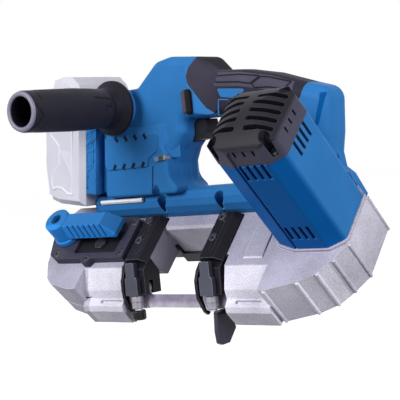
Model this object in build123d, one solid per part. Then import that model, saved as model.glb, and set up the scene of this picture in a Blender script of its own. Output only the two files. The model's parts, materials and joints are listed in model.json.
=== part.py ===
from build123d import *
import os
from math import atan2, cos, degrees, hypot, pi, radians, sin, sqrt, tan

# Saw band and its loop, with the cut line on the X axis and the loop plane tilted about it
TILT = 45.0
BAND_WIDTH = 12.7
BAND_THICK = 0.65
BAND_GAP = 0.3
TOOTH_PITCH = 2.6
TOOTH_DEPTH = 1.5
WHEEL_RADIUS = 43.0
WHEEL_SPACING = 231.4
DRIVE_U = 122.4
IDLER_U = DRIVE_U - WHEEL_SPACING
LOOP_RADIUS = WHEEL_RADIUS + BAND_GAP + BAND_THICK / 2
WHEEL_W = LOOP_RADIUS
TENSION_TRAVEL = 6.0
RUN_GAP = 0.04
FIT_GAP = 0.3

# Wheels
WHEEL_WIDTH = 14.0
TYRE_THICK = 3.0
RIM_THICK = 4.5
WEB_THICK = 5.0
HUB_RADIUS = 15.0
SPOKE_HOLE = 8.0
SPOKE_CIRCLE = 25.5
SHAFT_RADIUS = 5.0
IDLER_PIN = 4.0
IDLER_RACE = 11.0
IDLER_RACE_WIDTH = 7.0

# Frame casting, heights measured along the normal of the loop plane
FRONT_H = 28.0
BACK_H = -16.0
COVER_THICK = 3.0
FLOOR_H = 9.5
WHEEL_ROOM = 3.2
SPINE_LOW = 63.5
SPINE_TOP = 96.0
SPINE_WALL = 4.0
THROAT_LEFT = -27.5
THROAT_RIGHT = 38.5
THROAT_STEP = 31.0
NOSE_LEFT = -55.3
NOSE_RIGHT = 66.2
NOSE_REACH = 112.0
NOSE_W = 18.6
WALL_BACK_H = -3.0
RIDGE = 1.5
LID_INSET = 3.0

# Gear train
GEAR_MODULE = 0.9
PINION_MODULE = 0.8
DRIVE_TEETH = 44
SMALL_TEETH = 12
MIDDLE_TEETH = 40
ADDENDUM = 0.7
DEDENDUM = 1.25
BACKLASH = 0.22
PLATE_THICK = 2.0
PLATE_TOP = FLOOR_H + PLATE_THICK
POCKET_TOP = 23.0
DRIVE_GEAR_H = 12.4
DRIVE_GEAR_WIDTH = 4.8
MIDDLE_GEAR_H = 18.4
MIDDLE_GEAR_WIDTH = 3.8
CLUSTER_PIN = 3.0
RACE_RADIUS = 8.0

# Motor
MOTOR_U = 149.5
MOTOR_W = 64.5
MOTOR_HALF_U = 33.5
MOTOR_HALF_W = 33.0
MOTOR_CORNER = 11.0
MOTOR_STRIP = 20.0
STRIP_DEEP = 7.0
PLINTH_TOP = 31.0
HOUSING_TOP = 133.5
CAP_TOP = 163.0
CAP_CROWN = 11.0
CAP_ROUND = 9.0
CAP_OVER = 0.3
CAP_WALL = 4.0
CAN_RADIUS = 22.0
CAN_WALL = 2.0
CAN_LOW = 56.0
CAN_HIGH = 112.0
MAGNET_THICK = 4.0
ROTOR_RADIUS = 15.2
ROTOR_SHAFT = 2.5
CHAMBER_RADIUS = 27.0
VENT_WIDTH = 3.4
VENT_LENGTH = 16.0
VENT_PITCH = 7.0

# Blade tension
LEVER_U = -138.5
LEVER_W = 54.0
LEVER_SHAFT = 5.0
ECCENTRIC = TENSION_TRAVEL / 2
ECCENTRIC_RADIUS = 5.5
SLIDE_LOW = 13.2
SLIDE_TOP = 20.8
SLIDE_HALF = 13.0
HUB_LOW = 36.4
HUB_TOP = 61.0
LEVER_HUB = 14.0
LEVER_TIP = -66.0
COVER_FACE = 35.6
COVER_FLOOR = 31.5

# Blade guides
REAR_GUIDE = 48.8
GUIDE_SPACING = 88.4
FRONT_GUIDE = REAR_GUIDE - GUIDE_SPACING
ROLLER_RADIUS = 5.8
ROLLER_GAP = 0.1
ROLLER_LOW = -5.8
ROLLER_TOP = 6.1
ROLLER_PIN = 2.0
THRUST_RADIUS = 6.0
THRUST_WIDTH = 4.8
THRUST_SHIFT = 5.5
ARM_THICK = 6.0
HEAD_FRONT = -8.8
HEAD_BACK = 13.0
HEAD_LOW = 7.5

# Moulded body, its halves meeting in one upright plane
BODY_Y = 46.0
COLUMN_HALF = 30.0
COLUMN_EDGE = 3.0
COLUMN_BACK = 18.0
NECK_HALF = 25.0
NECK_BACK = 20.0
NECK_EDGE = 9.0
NECK_TAPER = 8.9
GRIP_HALF = 19.0
GRIP_ROUND = 12.0
RUBBER_THICK = 2.5
HOLE_LEFT = -3.5
HOLE_LOW = 101.0
BEAM_LEFT = -113.0
BEAM_RIGHT = 150.0
FOOT_RIGHT = 178.0
FOOT_DEEP = 14.0

# Battery pack and its shoe, in a frame that leans about the Y axis
PACK_LEAN = 8.0
PACK_AT = (-104.0, BODY_Y, 150.0)
PACK_DEPTH = 55.0
PACK_HALF = 39.0
PACK_LOW = -59.5
PACK_HIGH = 65.5
PACK_EDGE = 5.0
SHOE_DEPTH = 13.0
SHOE_HALF = 33.8
SHOE_LOW = -47.0
SHOE_HIGH = 48.0
TONGUE_HALF = 22.0
TONGUE_FLANGE = 26.0
LATCH_TRAVEL = 3.0
LATCH_LOW = -12.0
LATCH_HIGH = 3.0

# Side handle
AUX_X = -62.0
AUX_Z = 182.0
AUX_SEAT = 12.0
AUX_END = -107.0
AUX_FLANGE = 25.8
AUX_RADIUS = 18.4
AUX_BORE = 13.4
AUX_BOLT = 4.0

# Trigger and lock button
TRIGGER_HALF = 9.0
TRIGGER_TRAVEL = 6.0
LOCK_HALF_X = 4.8
LOCK_X = 19.9
LOCK_LOW = 168.0
LOCK_HIGH = 190.0
LOCK_TRAVEL = 4.0
LOCK_STAND = 4.0

LOOP = Plane(origin=(0, 0, 0), x_dir=(1, 0, 0), z_dir=(0, -sin(radians(TILT)), cos(radians(TILT))))
DRIVE_AT = (DRIVE_U, WHEEL_W)
IDLER_AT = (IDLER_U, WHEEL_W)
MOTOR_AT = (MOTOR_U, MOTOR_W)


def to_loop(part):
    return LOOP.location * part


def face(points, radius=0.0):
    shape = make_face(Polyline(*points, close=True))
    if radius > 0:
        shape = fillet(shape.vertices(), radius)
    return shape


def rounded(corners):
    shape = face([corner[:2] for corner in corners])
    for x, y, radius in corners:
        shape = fillet(shape.vertices().sort_by_distance((x, y, 0))[0], radius)
    return shape


def prism(shape, low, high):
    return Pos(0, 0, low) * extrude(shape, high - low)


def across(shape, front, back):
    return Pos(0, back, 0) * extrude(Plane.XZ * shape, back - front)


def along(shape, low, high):
    return Pos(low, 0, 0) * extrude(Plane.YZ * shape, high - low)


def rod(radius, low, high, at=(0, 0)):
    return Pos(at[0], at[1], low) * extrude(Circle(radius), high - low)


def ring(outer, inner, low, high, at=(0, 0)):
    return Pos(at[0], at[1], low) * extrude(Circle(outer) - Circle(inner), high - low)


def block(u, w, h):
    centre = ((u[0] + u[1]) / 2, (w[0] + w[1]) / 2, (h[0] + h[1]) / 2)
    return Pos(*centre) * Box(u[1] - u[0], w[1] - w[0], h[1] - h[0])


def turned(points, at=(0, 0)):
    return Pos(at[0], at[1], 0) * revolve(Plane.XZ * face(points), Axis.Z)


def obround(radius, start, end, low, high):
    middle = Pos((start[0] + end[0]) / 2, start[1]) * Rectangle(abs(end[0] - start[0]), 2 * radius)
    shape = Pos(*start) * Circle(radius) + Pos(*end) * Circle(radius) + middle
    return prism(shape, low, high)


def screw(at, seat, head, radius, length, head_high):
    body = rod(radius, seat - length, seat, at) + rod(head, seat, seat + head_high, at)
    socket = extrude(Pos(at[0], at[1], seat + head_high * 0.4) * RegularPolygon(head * 0.55, 6), head_high)
    return body - socket


def face_screw(at, seat):
    return screw(at, seat, 3.8, 2.0, 13, 2.4)


def group(parts):
    return Compound(children=[solid for part in parts for solid in part.solids()])


# Toothed wheel with involute flanks, tooth gap or tooth turned to face a neighbour
def gear(teeth, module, low, high, bore, facing, gap):
    pitch = module * teeth / 2
    base = pitch * cos(radians(20))
    tip = pitch + ADDENDUM * module
    root = pitch - DEDENDUM * module
    half = pi / (2 * teeth) - BACKLASH / (2 * pitch)
    roll = tan(radians(20)) - radians(20)
    flank = []
    for radius in (max(base, root + 0.01), pitch, tip):
        swing = sqrt(max((radius / base) ** 2 - 1, 0))
        flank.append((radius, half + roll - (swing - atan2(swing, 1))))
    start = radians(facing) + (pi / teeth if gap else 0)
    points = []
    for index in range(teeth):
        middle = start + 2 * pi * index / teeth
        low_angle = flank[0][1] * 1.02
        polar = [(root, -low_angle)] + [(r, -a) for r, a in flank] + [(r, a) for r, a in reversed(flank)]
        polar.append((root, low_angle))
        points += [(r * cos(middle + a), r * sin(middle + a)) for r, a in polar]
    shape = face(points) - Circle(bore)
    return prism(shape, low, high)


# Gear centres, the middle shaft found from both centre distances
REACH = hypot(MOTOR_U - DRIVE_U, MOTOR_W - WHEEL_W)
STAGE_ONE = PINION_MODULE * (SMALL_TEETH + MIDDLE_TEETH) / 2
STAGE_TWO = GEAR_MODULE * (SMALL_TEETH + DRIVE_TEETH) / 2
FOOT = (STAGE_TWO ** 2 - STAGE_ONE ** 2 + REACH ** 2) / (2 * REACH)
RISE = sqrt(STAGE_TWO ** 2 - FOOT ** 2)
LINE = ((MOTOR_U - DRIVE_U) / REACH, (MOTOR_W - WHEEL_W) / REACH)
MIDDLE_AT = (DRIVE_U + FOOT * LINE[0] + RISE * LINE[1], WHEEL_W + FOOT * LINE[1] - RISE * LINE[0])
TO_MIDDLE = degrees(atan2(MIDDLE_AT[1] - WHEEL_W, MIDDLE_AT[0] - DRIVE_U))
TO_MOTOR = degrees(atan2(MOTOR_W - MIDDLE_AT[1], MOTOR_U - MIDDLE_AT[0]))
DRIVE_GEAR_TIP = GEAR_MODULE * (DRIVE_TEETH / 2 + ADDENDUM)
MIDDLE_GEAR_TIP = PINION_MODULE * (MIDDLE_TEETH / 2 + ADDENDUM)
SMALL_GEAR_TIP = PINION_MODULE * (SMALL_TEETH / 2 + ADDENDUM)
CLUSTER_BORE = CLUSTER_PIN + RUN_GAP


# Saw band: two half rings, a straight return run, two twisted runs and a toothed cutting run
def band_section(u, angle):
    plane = Plane(origin=(u, 0, 0), x_dir=(0, sin(radians(angle)), cos(radians(angle))), z_dir=(1, 0, 0))
    return plane * Rectangle(BAND_WIDTH, BAND_THICK)


def twisted_run(start, end, steps=6):
    sections = []
    for index in range(steps + 1):
        share = index / steps
        sections.append(band_section(start + (end - start) * share, TILT * share))
    return loft(sections, ruled=True)


def make_band():
    half = BAND_WIDTH / 2
    hoop = Circle(LOOP_RADIUS + BAND_THICK / 2) - Circle(LOOP_RADIUS - BAND_THICK / 2)
    side = Rectangle(2 * LOOP_RADIUS, 4 * LOOP_RADIUS)
    right = Pos(*DRIVE_AT) * (hoop & Pos(LOOP_RADIUS, 0) * side)
    left = Pos(*IDLER_AT) * (hoop & Pos(-LOOP_RADIUS, 0) * side)
    back = Pos((DRIVE_U + IDLER_U) / 2, 2 * WHEEL_W) * Rectangle(WHEEL_SPACING, BAND_THICK)
    flat = prism(right, -half, half) + prism(left, -half, half) + prism(back, -half, half)
    slack = Pos(IDLER_U + TENSION_TRAVEL / 2, 0) * Rectangle(TENSION_TRAVEL, BAND_THICK)
    flat += prism(slack, -half, half)
    flat += twisted_run(DRIVE_U, REAR_GUIDE)
    flat += twisted_run(IDLER_U + TENSION_TRAVEL, FRONT_GUIDE)
    points = [(FRONT_GUIDE, -half), (FRONT_GUIDE, half), (REAR_GUIDE, half), (REAR_GUIDE, -half)]
    teeth = int(GUIDE_SPACING / TOOTH_PITCH) - 1
    first = FRONT_GUIDE + (GUIDE_SPACING + teeth * TOOTH_PITCH) / 2
    for index in range(teeth):
        x = first - index * TOOTH_PITCH
        points += [(x - 0.1, -half), (x - 0.45 * TOOTH_PITCH, -half + TOOTH_DEPTH)]
        points += [(x - 0.7 * TOOTH_PITCH, -half + TOOTH_DEPTH)]
    cutting = across(face(points), -BAND_THICK / 2, BAND_THICK / 2)
    return to_loop(flat) + cutting


# Wheels, tyres and the drive line
def make_wheel(bore):
    half = WHEEL_WIDTH / 2
    rim = WHEEL_RADIUS - TYRE_THICK
    inner = rim - RIM_THICK
    web = WEB_THICK / 2
    points = [(bore, -half), (HUB_RADIUS, -half), (HUB_RADIUS + 2, -web), (inner - 1, -web), (inner, -half)]
    points += [(rim, -half), (rim, half), (inner, half), (inner - 1, web), (HUB_RADIUS + 2, web)]
    points += [(HUB_RADIUS, half), (bore, half)]
    wheel = turned(points)
    for spot in PolarLocations(SPOKE_CIRCLE, 6):
        wheel -= spot * rod(SPOKE_HOLE, -half, half)
    return wheel


def at_wheel(part, at):
    return to_loop(Pos(at[0], at[1], 0) * part)


half_wheel = WHEEL_WIDTH / 2
tyre = ring(WHEEL_RADIUS, WHEEL_RADIUS - TYRE_THICK, -half_wheel, half_wheel)
drive_wheel = at_wheel(make_wheel(SHAFT_RADIUS), DRIVE_AT)
drive_tyre = at_wheel(tyre, DRIVE_AT)
idler_wheel = at_wheel(make_wheel(IDLER_RACE), IDLER_AT)
idler_tyre = at_wheel(tyre, IDLER_AT)
race = ring(IDLER_RACE, IDLER_PIN + RUN_GAP, -IDLER_RACE_WIDTH / 2, IDLER_RACE_WIDTH / 2)
idler_bearing = at_wheel(race, IDLER_AT)
drive_shaft = at_wheel(rod(SHAFT_RADIUS, -half_wheel, POCKET_TOP + 3.6), DRIVE_AT)
bolt_head = turned([(0, -11.4), (7.2, -11.4), (8, -10.6), (8, -half_wheel), (0, -half_wheel)])
bolt_head -= extrude(Pos(0, 0, -11.4) * RegularPolygon(4.2, 6), 2.6)
wheel_bolt = at_wheel(bolt_head, DRIVE_AT)
gear_top = DRIVE_GEAR_H + DRIVE_GEAR_WIDTH
big = gear(DRIVE_TEETH, GEAR_MODULE, DRIVE_GEAR_H, gear_top, SHAFT_RADIUS, TO_MIDDLE, False)
drive_gear = at_wheel(big, DRIVE_AT)
middle_top = MIDDLE_GEAR_H + MIDDLE_GEAR_WIDTH
small = gear(SMALL_TEETH, GEAR_MODULE, PLATE_TOP + FIT_GAP, MIDDLE_GEAR_H, CLUSTER_BORE, TO_MIDDLE + 180, True)
large = gear(MIDDLE_TEETH, PINION_MODULE, MIDDLE_GEAR_H, middle_top, CLUSTER_BORE, TO_MOTOR, False)
cluster_gear = at_wheel(small + large, MIDDLE_AT)
cluster_pin = at_wheel(rod(CLUSTER_PIN, FLOOR_H, POCKET_TOP + 3), MIDDLE_AT)
rear_race = ring(RACE_RADIUS, SHAFT_RADIUS + RUN_GAP, FLOOR_H - 1.6, PLATE_TOP + 0.3)
front_race = ring(RACE_RADIUS, SHAFT_RADIUS + RUN_GAP, POCKET_TOP - 1.5, POCKET_TOP + 2.5)
shaft_bearings = group([at_wheel(rear_race, DRIVE_AT), at_wheel(front_race, DRIVE_AT)])

# Gear pocket, shared by the casting and the plate that closes it
POCKET_GAP = 1.3


def gear_outline(extra):
    shape = Pos(*DRIVE_AT) * Circle(DRIVE_GEAR_TIP + POCKET_GAP + extra)
    shape += Pos(*MIDDLE_AT) * Circle(MIDDLE_GEAR_TIP + POCKET_GAP + extra)
    return shape + Pos(*MOTOR_AT) * Circle(SMALL_GEAR_TIP + POCKET_GAP + extra)


plate = prism(gear_outline(2.4), FLOOR_H, PLATE_TOP)
plate -= rod(RACE_RADIUS, FLOOR_H, PLATE_TOP, DRIVE_AT)
plate -= rod(CLUSTER_PIN, FLOOR_H, PLATE_TOP, MIDDLE_AT)
gearbox_plate = to_loop(plate)

# Rotor, magnets and can of the motor
pinion_top = PLINTH_TOP + 1
shape = rod(ROTOR_SHAFT, MIDDLE_GEAR_H - 0.4, HOUSING_TOP + 12) + rod(ROTOR_RADIUS, CAN_LOW + 6, CAN_HIGH - 10)
shape += rod(8.0, CAN_HIGH - 9, CAN_HIGH - 3)
for spot in PolarLocations(ROTOR_RADIUS, 8):
    shape -= spot * prism(Rectangle(5.0, 2.4), CAN_LOW + 6, CAN_HIGH - 10)
rotor = at_wheel(shape, MOTOR_AT)
pinion = gear(SMALL_TEETH, PINION_MODULE, MIDDLE_GEAR_H - 0.4, POCKET_TOP, ROTOR_SHAFT, TO_MOTOR + 180, True)
motor_pinion = at_wheel(pinion, MOTOR_AT)
fan = ring(9.0, ROTOR_SHAFT, 38, 50) + ring(23.0, ROTOR_SHAFT, 48.5, 50)
for spot in PolarLocations(15.0, 9):
    fan += spot * prism(Rot(0, 0, 25) * Rectangle(14.0, 1.6), 39, 49)
cooling_fan = at_wheel(fan, MOTOR_AT)
can = ring(CAN_RADIUS, CAN_RADIUS - CAN_WALL, CAN_LOW, CAN_HIGH)
can += ring(CAN_RADIUS, ROTOR_SHAFT + RUN_GAP, CAN_LOW, CAN_LOW + 3)
can += ring(CAN_RADIUS, ROTOR_SHAFT + RUN_GAP, CAN_HIGH - 2.5, CAN_HIGH)
motor_can = at_wheel(can, MOTOR_AT)
magnet_ring = ring(CAN_RADIUS - CAN_WALL, CAN_RADIUS - CAN_WALL - MAGNET_THICK, CAN_LOW + 8, CAN_HIGH - 12)
magnets = magnet_ring - prism(Rectangle(90, 14), CAN_LOW, CAN_HIGH)
motor_magnets = group([at_wheel(solid, MOTOR_AT) for solid in magnets.solids()])


# Motor housing and its vented cap
def motor_outline(extra, radius):
    u = MOTOR_HALF_U + extra
    w = MOTOR_HALF_W + extra
    c = MOTOR_CORNER
    points = [(-u + MOTOR_STRIP, -w), (u - 1.3 * c, -w), (u, -w + 0.8 * c), (u, w - c), (u - c, w), (-u + c, w)]
    points += [(-u, w - c), (-u, -w + STRIP_DEEP)]
    return Pos(*MOTOR_AT) * face(points, radius)


spot_u = MOTOR_HALF_U - 8.5
spot_w = MOTOR_HALF_W - 8.5
cap_spots = [(MOTOR_U + a * spot_u, MOTOR_W + b * spot_w) for a in (-1, 1) for b in (-1, 1)]
cap_seat = HOUSING_TOP + 4
cap_screws = [screw(spot, cap_seat, 3.6, 1.8, 16, 2.6) for spot in cap_spots]
housing = prism(motor_outline(0, 5), PLINTH_TOP, HOUSING_TOP)
housing -= rod(CHAMBER_RADIUS, PLINTH_TOP, CAN_LOW - 1, MOTOR_AT)
housing -= rod(CAN_RADIUS, CAN_LOW - 1, CAN_HIGH, MOTOR_AT)
housing -= rod(CHAMBER_RADIUS, CAN_HIGH, HOUSING_TOP, MOTOR_AT)
front_w = MOTOR_W - MOTOR_HALF_W
side_u = MOTOR_U + MOTOR_HALF_U
front_u = (MOTOR_U - MOTOR_HALF_U + MOTOR_STRIP, side_u - 1.3 * MOTOR_CORNER)
vent_u = (front_u[0] + front_u[1]) / 2
half_vent = VENT_WIDTH / 2
high_vent = HOUSING_TOP - VENT_LENGTH
for index in range(4):
    shift = (index - 1.5) * VENT_PITCH
    for low in (PLINTH_TOP + 12, high_vent):
        reach = (vent_u + shift - half_vent, vent_u + shift + half_vent)
        housing -= block(reach, (front_w - 1, front_w + 14), (low, low + VENT_LENGTH))
    rise = (MOTOR_W + shift - half_vent, MOTOR_W + shift + half_vent)
    housing -= block((side_u - 14, side_u + 1), rise, (high_vent, HOUSING_TOP))
housing -= block((front_u[0] + 1, front_u[0] + 3.4), (front_w - 1, front_w + 1.8), (PLINTH_TOP, HOUSING_TOP))


def domed(half, top):
    side = HOUSING_TOP - 1
    rim = top - CAP_CROWN
    walls = Polyline((half, rim), (half, side), (-half, side), (-half, rim))
    shape = make_face(walls + ThreePointArc((-half, rim), (0, top), (half, rim)))
    return fillet(shape.vertices().sort_by(Axis.Y)[-2:], CAP_ROUND)


def cap_form(extra, radius, top):
    form = Pos(0, 0, HOUSING_TOP) * extrude(motor_outline(extra, radius), CAP_TOP - HOUSING_TOP, taper=3)
    form &= across(Pos(MOTOR_U, 0) * domed(MOTOR_HALF_U + extra, top), MOTOR_W - 60, MOTOR_W + 60)
    return form & along(Pos(MOTOR_W, 0) * domed(MOTOR_HALF_W + extra, top), MOTOR_U - 60, MOTOR_U + 60)


shell_cap = cap_form(CAP_OVER, 5, CAP_TOP)
shell_cap -= cap_form(-CAP_WALL, 3, CAP_TOP - CAP_WALL) & rod(30.0, HOUSING_TOP, CAP_TOP, MOTOR_AT)
for index in range(5):
    w = MOTOR_W + (index - 2) * 8.5
    for side in (-1, 1):
        slot = Pos(MOTOR_U + side * 17, w) * SlotOverall(26, 4.4)
        shell_cap -= prism(slot, CAP_TOP - CAP_CROWN - 6, CAP_TOP + 1)
recess = across(RectangleRounded(front_u[1] - front_u[0] - 3, 24, 4), -1.2, 1.2)
shell_cap -= Pos(vent_u, front_w, HOUSING_TOP + 5) * Rot(-3, 0, 0) * recess
slit_high = (HOUSING_TOP + 9, HOUSING_TOP + 15)
for index in range(3):
    shift = (index - 1) * 9.0
    shell_cap -= block((vent_u + shift - 1.1, vent_u + shift + 1.1), (front_w - 3, front_w + 4), slit_high)
    shell_cap -= block((side_u - 4, side_u + 3), (MOTOR_W + shift - 1.1, MOTOR_W + shift + 1.1), slit_high)
for spot in cap_spots:
    shell_cap -= rod(5.0, cap_seat, CAP_TOP + 1, spot)
for piece in cap_screws:
    shell_cap -= piece
    housing -= piece
motor_housing = to_loop(housing)
motor_cap = to_loop(shell_cap)
motor_cap_screws = group([to_loop(piece) for piece in cap_screws])

# Tension slide with its axle, lever and eccentric
rest_u = LEVER_U - ECCENTRIC
slot_half = ECCENTRIC_RADIUS + 0.9
slot_reach = ECCENTRIC_RADIUS + ECCENTRIC + 0.9
slide_left = rest_u - slot_half - 3.2
slide_right = IDLER_U + 16.0
tab_right = rest_u + slot_half + 6.0
tab_top = LEVER_W + slot_reach + 3.0
tab_low = LEVER_W - slot_reach - 3.0
bar_left = tab_right - 6.0
slide = block((bar_left, slide_right), (WHEEL_W - SLIDE_HALF, WHEEL_W + SLIDE_HALF), (SLIDE_LOW, SLIDE_TOP))
slide += block((slide_left, tab_right), (tab_low, tab_top), (SLIDE_LOW, SLIDE_TOP))
yoke_u = (rest_u - slot_half, rest_u + slot_half)
slide -= block(yoke_u, (LEVER_W - slot_reach, LEVER_W + slot_reach), (0, FRONT_H))
slide += rod(IDLER_PIN, -half_wheel + 1, SLIDE_TOP, IDLER_AT)
tension_slide = to_loop(slide)
clip = ring(6.8, IDLER_PIN, -IDLER_RACE_WIDTH / 2 - 1.6, -IDLER_RACE_WIDTH / 2 - 0.4, IDLER_AT)
axle_clip = to_loop(clip)
lever_at = (LEVER_U, LEVER_W)
cam = rod(ECCENTRIC_RADIUS, SLIDE_LOW + 0.3, SLIDE_TOP + 0.4, (rest_u, LEVER_W))
cam += rod(LEVER_SHAFT, SLIDE_TOP + 0.4, HUB_LOW + 9, lever_at)
lever_shaft = to_loop(cam)
low_half = 11.0
high_half = 8.0
bar = [(LEVER_W - low_half, HUB_LOW + 5), (LEVER_W + low_half, HUB_LOW + 5)]
bar += [(LEVER_W + high_half, HUB_TOP - 1.5), (LEVER_W - high_half, HUB_TOP - 1.5)]
lever = along(face(bar, 2), LEVER_U, LEVER_TIP)
tip = [(LEVER_TIP - 12, HUB_TOP), (LEVER_TIP + 1, HUB_TOP), (LEVER_TIP + 1, HUB_LOW + 8)]
lever -= across(face(tip), LEVER_W - 20, LEVER_W + 20)
for index in range(7):
    u = LEVER_U + 18.5 + index * 7.2
    for side in (-1, 1):
        lean = Rot(side * 10, 0, 0) * Box(1.8, 3.0, 24.0)
        lever -= Pos(u, LEVER_W + side * (low_half - 1.9), HUB_LOW + 19) * lean
hub = [(0, HUB_LOW), (LEVER_HUB + 1.2, HUB_LOW), (LEVER_HUB + 1.2, HUB_LOW + 4), (LEVER_HUB, HUB_LOW + 5)]
hub += [(LEVER_HUB - 0.6, HUB_TOP - 1.2), (LEVER_HUB - 1.8, HUB_TOP), (0, HUB_TOP)]
lever += turned(hub, lever_at)
lever -= rod(LEVER_SHAFT, HUB_LOW, HUB_LOW + 9, lever_at)
lever -= rod(5.8, HUB_LOW + 9, HUB_TOP, lever_at)
tension_lever = to_loop(lever)

# Black cover over the slide, with its screws and pivot bolt
cover_points = [(-160.6, 52), (-152.5, 29.6), (-143.6, 24.4), (-107, 24.1), (-104, 19.2), (-97, 19.2), (-94, 24.4)]
cover_points += [(NOSE_LEFT + 1.6, 24.7), (NOSE_LEFT + 1, 70), (-60, 74), (-152, 74), (-160.6, 66)]
cover = prism(face(cover_points, 1.5), FRONT_H, COVER_FACE)
well = [(-121, 31), (-66, 31), (-66, 60), (-72, 67), (-114, 67), (-121, 60)]
cover -= prism(face(well, 3), COVER_FLOOR, COVER_FACE)
for index in range(4):
    u = -112 + index * 3.6
    cover += block((u, u + 1.4), (50, 64), (COVER_FLOOR, COVER_FLOOR + 1.8))
cover -= rod(LEVER_SHAFT + RUN_GAP, FRONT_H, COVER_FACE, lever_at)
cover_screw_spots = [(-144.6, 31.3), (-100.5, 25.0), (-59.5, 31.2), (-60.2, 67.5)]
cover_seat = COVER_FLOOR + 1.5
cover_screws = [face_screw(spot, cover_seat) for spot in cover_screw_spots]
for spot in cover_screw_spots:
    cover -= rod(4.3, cover_seat, COVER_FACE, spot)
pivot_at = (LEVER_U + 46.6, LEVER_W - 10.9)
pivot = extrude(Pos(*pivot_at, COVER_FLOOR) * RegularPolygon(6.5, 6), 4.0)
pivot += rod(3.0, FRONT_H - 6, COVER_FLOOR, pivot_at)
for piece in cover_screws:
    cover -= piece
cover -= pivot
tension_cover = to_loop(cover)
pivot_bolt = to_loop(pivot)

# Guide arms on the front face, and their screws
arm_spots = [(-4.3, 69.3), (-4.3, 45.5)]
arm_seat = FRONT_H + ARM_THICK - 2.2


def make_arm(at):
    left = at - 10.8
    points = [(left, FRONT_H), (left + 25, FRONT_H), (left + 25, FRONT_H + 1.5), (left + 17.5, FRONT_H + ARM_THICK)]
    points += [(left + 1.5, FRONT_H + ARM_THICK), (left, FRONT_H + ARM_THICK - 1.5)]
    arm = across(face(points), 22.5, 75)
    for spot in arm_spots:
        arm -= rod(4.2, arm_seat, FRONT_H + ARM_THICK, (at + spot[0], spot[1]))
    arm -= block((left + 9, left + 12), (30, 64), (FRONT_H + ARM_THICK - 1, FRONT_H + ARM_THICK))
    for piece in make_arm_screws(at):
        arm -= piece
    return to_loop(arm)


def make_arm_screws(at):
    return [face_screw((at + spot[0], spot[1]), arm_seat) for spot in arm_spots]


guide_screws = make_arm_screws(FRONT_GUIDE) + make_arm_screws(REAR_GUIDE)
guide_arms = group([make_arm(FRONT_GUIDE), make_arm(REAR_GUIDE)])

# Guide heads, fingers, shields, rollers and their pins
ROLLER_Y = BAND_THICK / 2 + ROLLER_GAP + ROLLER_RADIUS
THRUST_Z = BAND_WIDTH / 2 + ROLLER_GAP + THRUST_RADIUS
HEAD_LINE = FRONT_H * sqrt(2)


def make_head(at):
    points = [(HEAD_FRONT, HEAD_FRONT + HEAD_LINE), (HEAD_FRONT, HEAD_LOW), (HEAD_BACK, HEAD_LOW)]
    points += [(HEAD_BACK, 27), (1.5, 1.5 + HEAD_LINE)]
    head = along(face(points), at - 10.5, at + 13)
    slot = [(-THRUST_WIDTH / 2 - 0.4, 0), (THRUST_WIDTH / 2 + 0.4, 0), (THRUST_WIDTH / 2 + 0.4, 20)]
    slot += [(-THRUST_WIDTH / 2 - 0.4, 20)]
    head -= along(face(slot), at - 11, at + 14)
    for pin in make_pins(at):
        head -= pin
    return head


def make_pins(at):
    pins = []
    for side in (-1, 1):
        spot = (at, side * ROLLER_Y)
        pins.append(rod(ROLLER_PIN, ROLLER_LOW, 15, spot) + rod(3.6, ROLLER_LOW - 1.6, ROLLER_LOW - 0.3, spot)
                    + rod(ROLLER_PIN, ROLLER_LOW - 0.3, ROLLER_LOW, spot))
    thrust = across(Pos(at + THRUST_SHIFT, THRUST_Z) * Circle(ROLLER_PIN), -7, 7)
    return pins + [thrust]


def make_roller(at, side):
    r = ROLLER_RADIUS
    bore = ROLLER_PIN + RUN_GAP
    middle = (ROLLER_LOW + ROLLER_TOP) / 2
    points = [(bore, ROLLER_LOW), (r - 0.5, ROLLER_LOW), (r, ROLLER_LOW + 0.5), (r, middle - 0.4), (r - 0.6, middle)]
    points += [(r, middle + 0.4), (r, ROLLER_TOP - 0.5), (r - 0.5, ROLLER_TOP), (bore, ROLLER_TOP)]
    return turned(points, (at, side * ROLLER_Y))


def make_thrust(at):
    shape = Circle(THRUST_RADIUS) - Circle(ROLLER_PIN + RUN_GAP)
    return across(Pos(at + THRUST_SHIFT, THRUST_Z) * shape, -THRUST_WIDTH / 2, THRUST_WIDTH / 2)


def make_finger(at):
    points = [(at - 5, 37), (at - 5, 24), (at - 7.2, 22.5), (at - 7.2, 6.8), (at + 7.2, 6.8), (at + 7.2, 22.5)]
    points += [(at + 5, 24), (at + 5, 37)]
    return across(face(points, 0.8), HEAD_FRONT - 5, HEAD_FRONT)


def make_shield(at):
    points = [(-3.4, 35.8), (-9.3, 28.7), (-12.8, 20.2), (-12.7, 11.3), (-11.8, 3.9), (-3.8, -9.1), (0.1, -12)]
    points += [(5, -8.7), (1, -8.3), (-2.2, -7.4), (-6.5, 2.6), (-6, 9.2), (6, 10.2), (8, 22), (1, 34)]
    return along(face(points), at - 13.5, at - 10.5)


guide_heads = group([make_head(FRONT_GUIDE), make_head(REAR_GUIDE)])
guide_fingers = group([make_finger(FRONT_GUIDE), make_finger(REAR_GUIDE)])
guide_shields = group([make_shield(FRONT_GUIDE), make_shield(REAR_GUIDE)])
roller_pins = group(make_pins(FRONT_GUIDE) + make_pins(REAR_GUIDE))
cap_at = (FRONT_GUIDE, -ROLLER_Y)
cap_low = ROLLER_LOW - 10.6
front_guide_cap = Pos(*cap_at, 0) * turned([(0, cap_low), (5.6, cap_low), (6.6, cap_low + 1.2),
                                            (6.6, ROLLER_LOW - 2.6), (5.6, ROLLER_LOW - 1.6), (0, ROLLER_LOW - 1.6)])
front_guide_cap -= extrude(Pos(*cap_at, cap_low) * RegularPolygon(3.2, 6), 4)
fin = [(-4, -9.4), (-5.3, -26), (-4, -36.5), (0, -38.6), (10.4, -38.3), (21.3, -26.6), (16.5, -9.4)]
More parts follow.
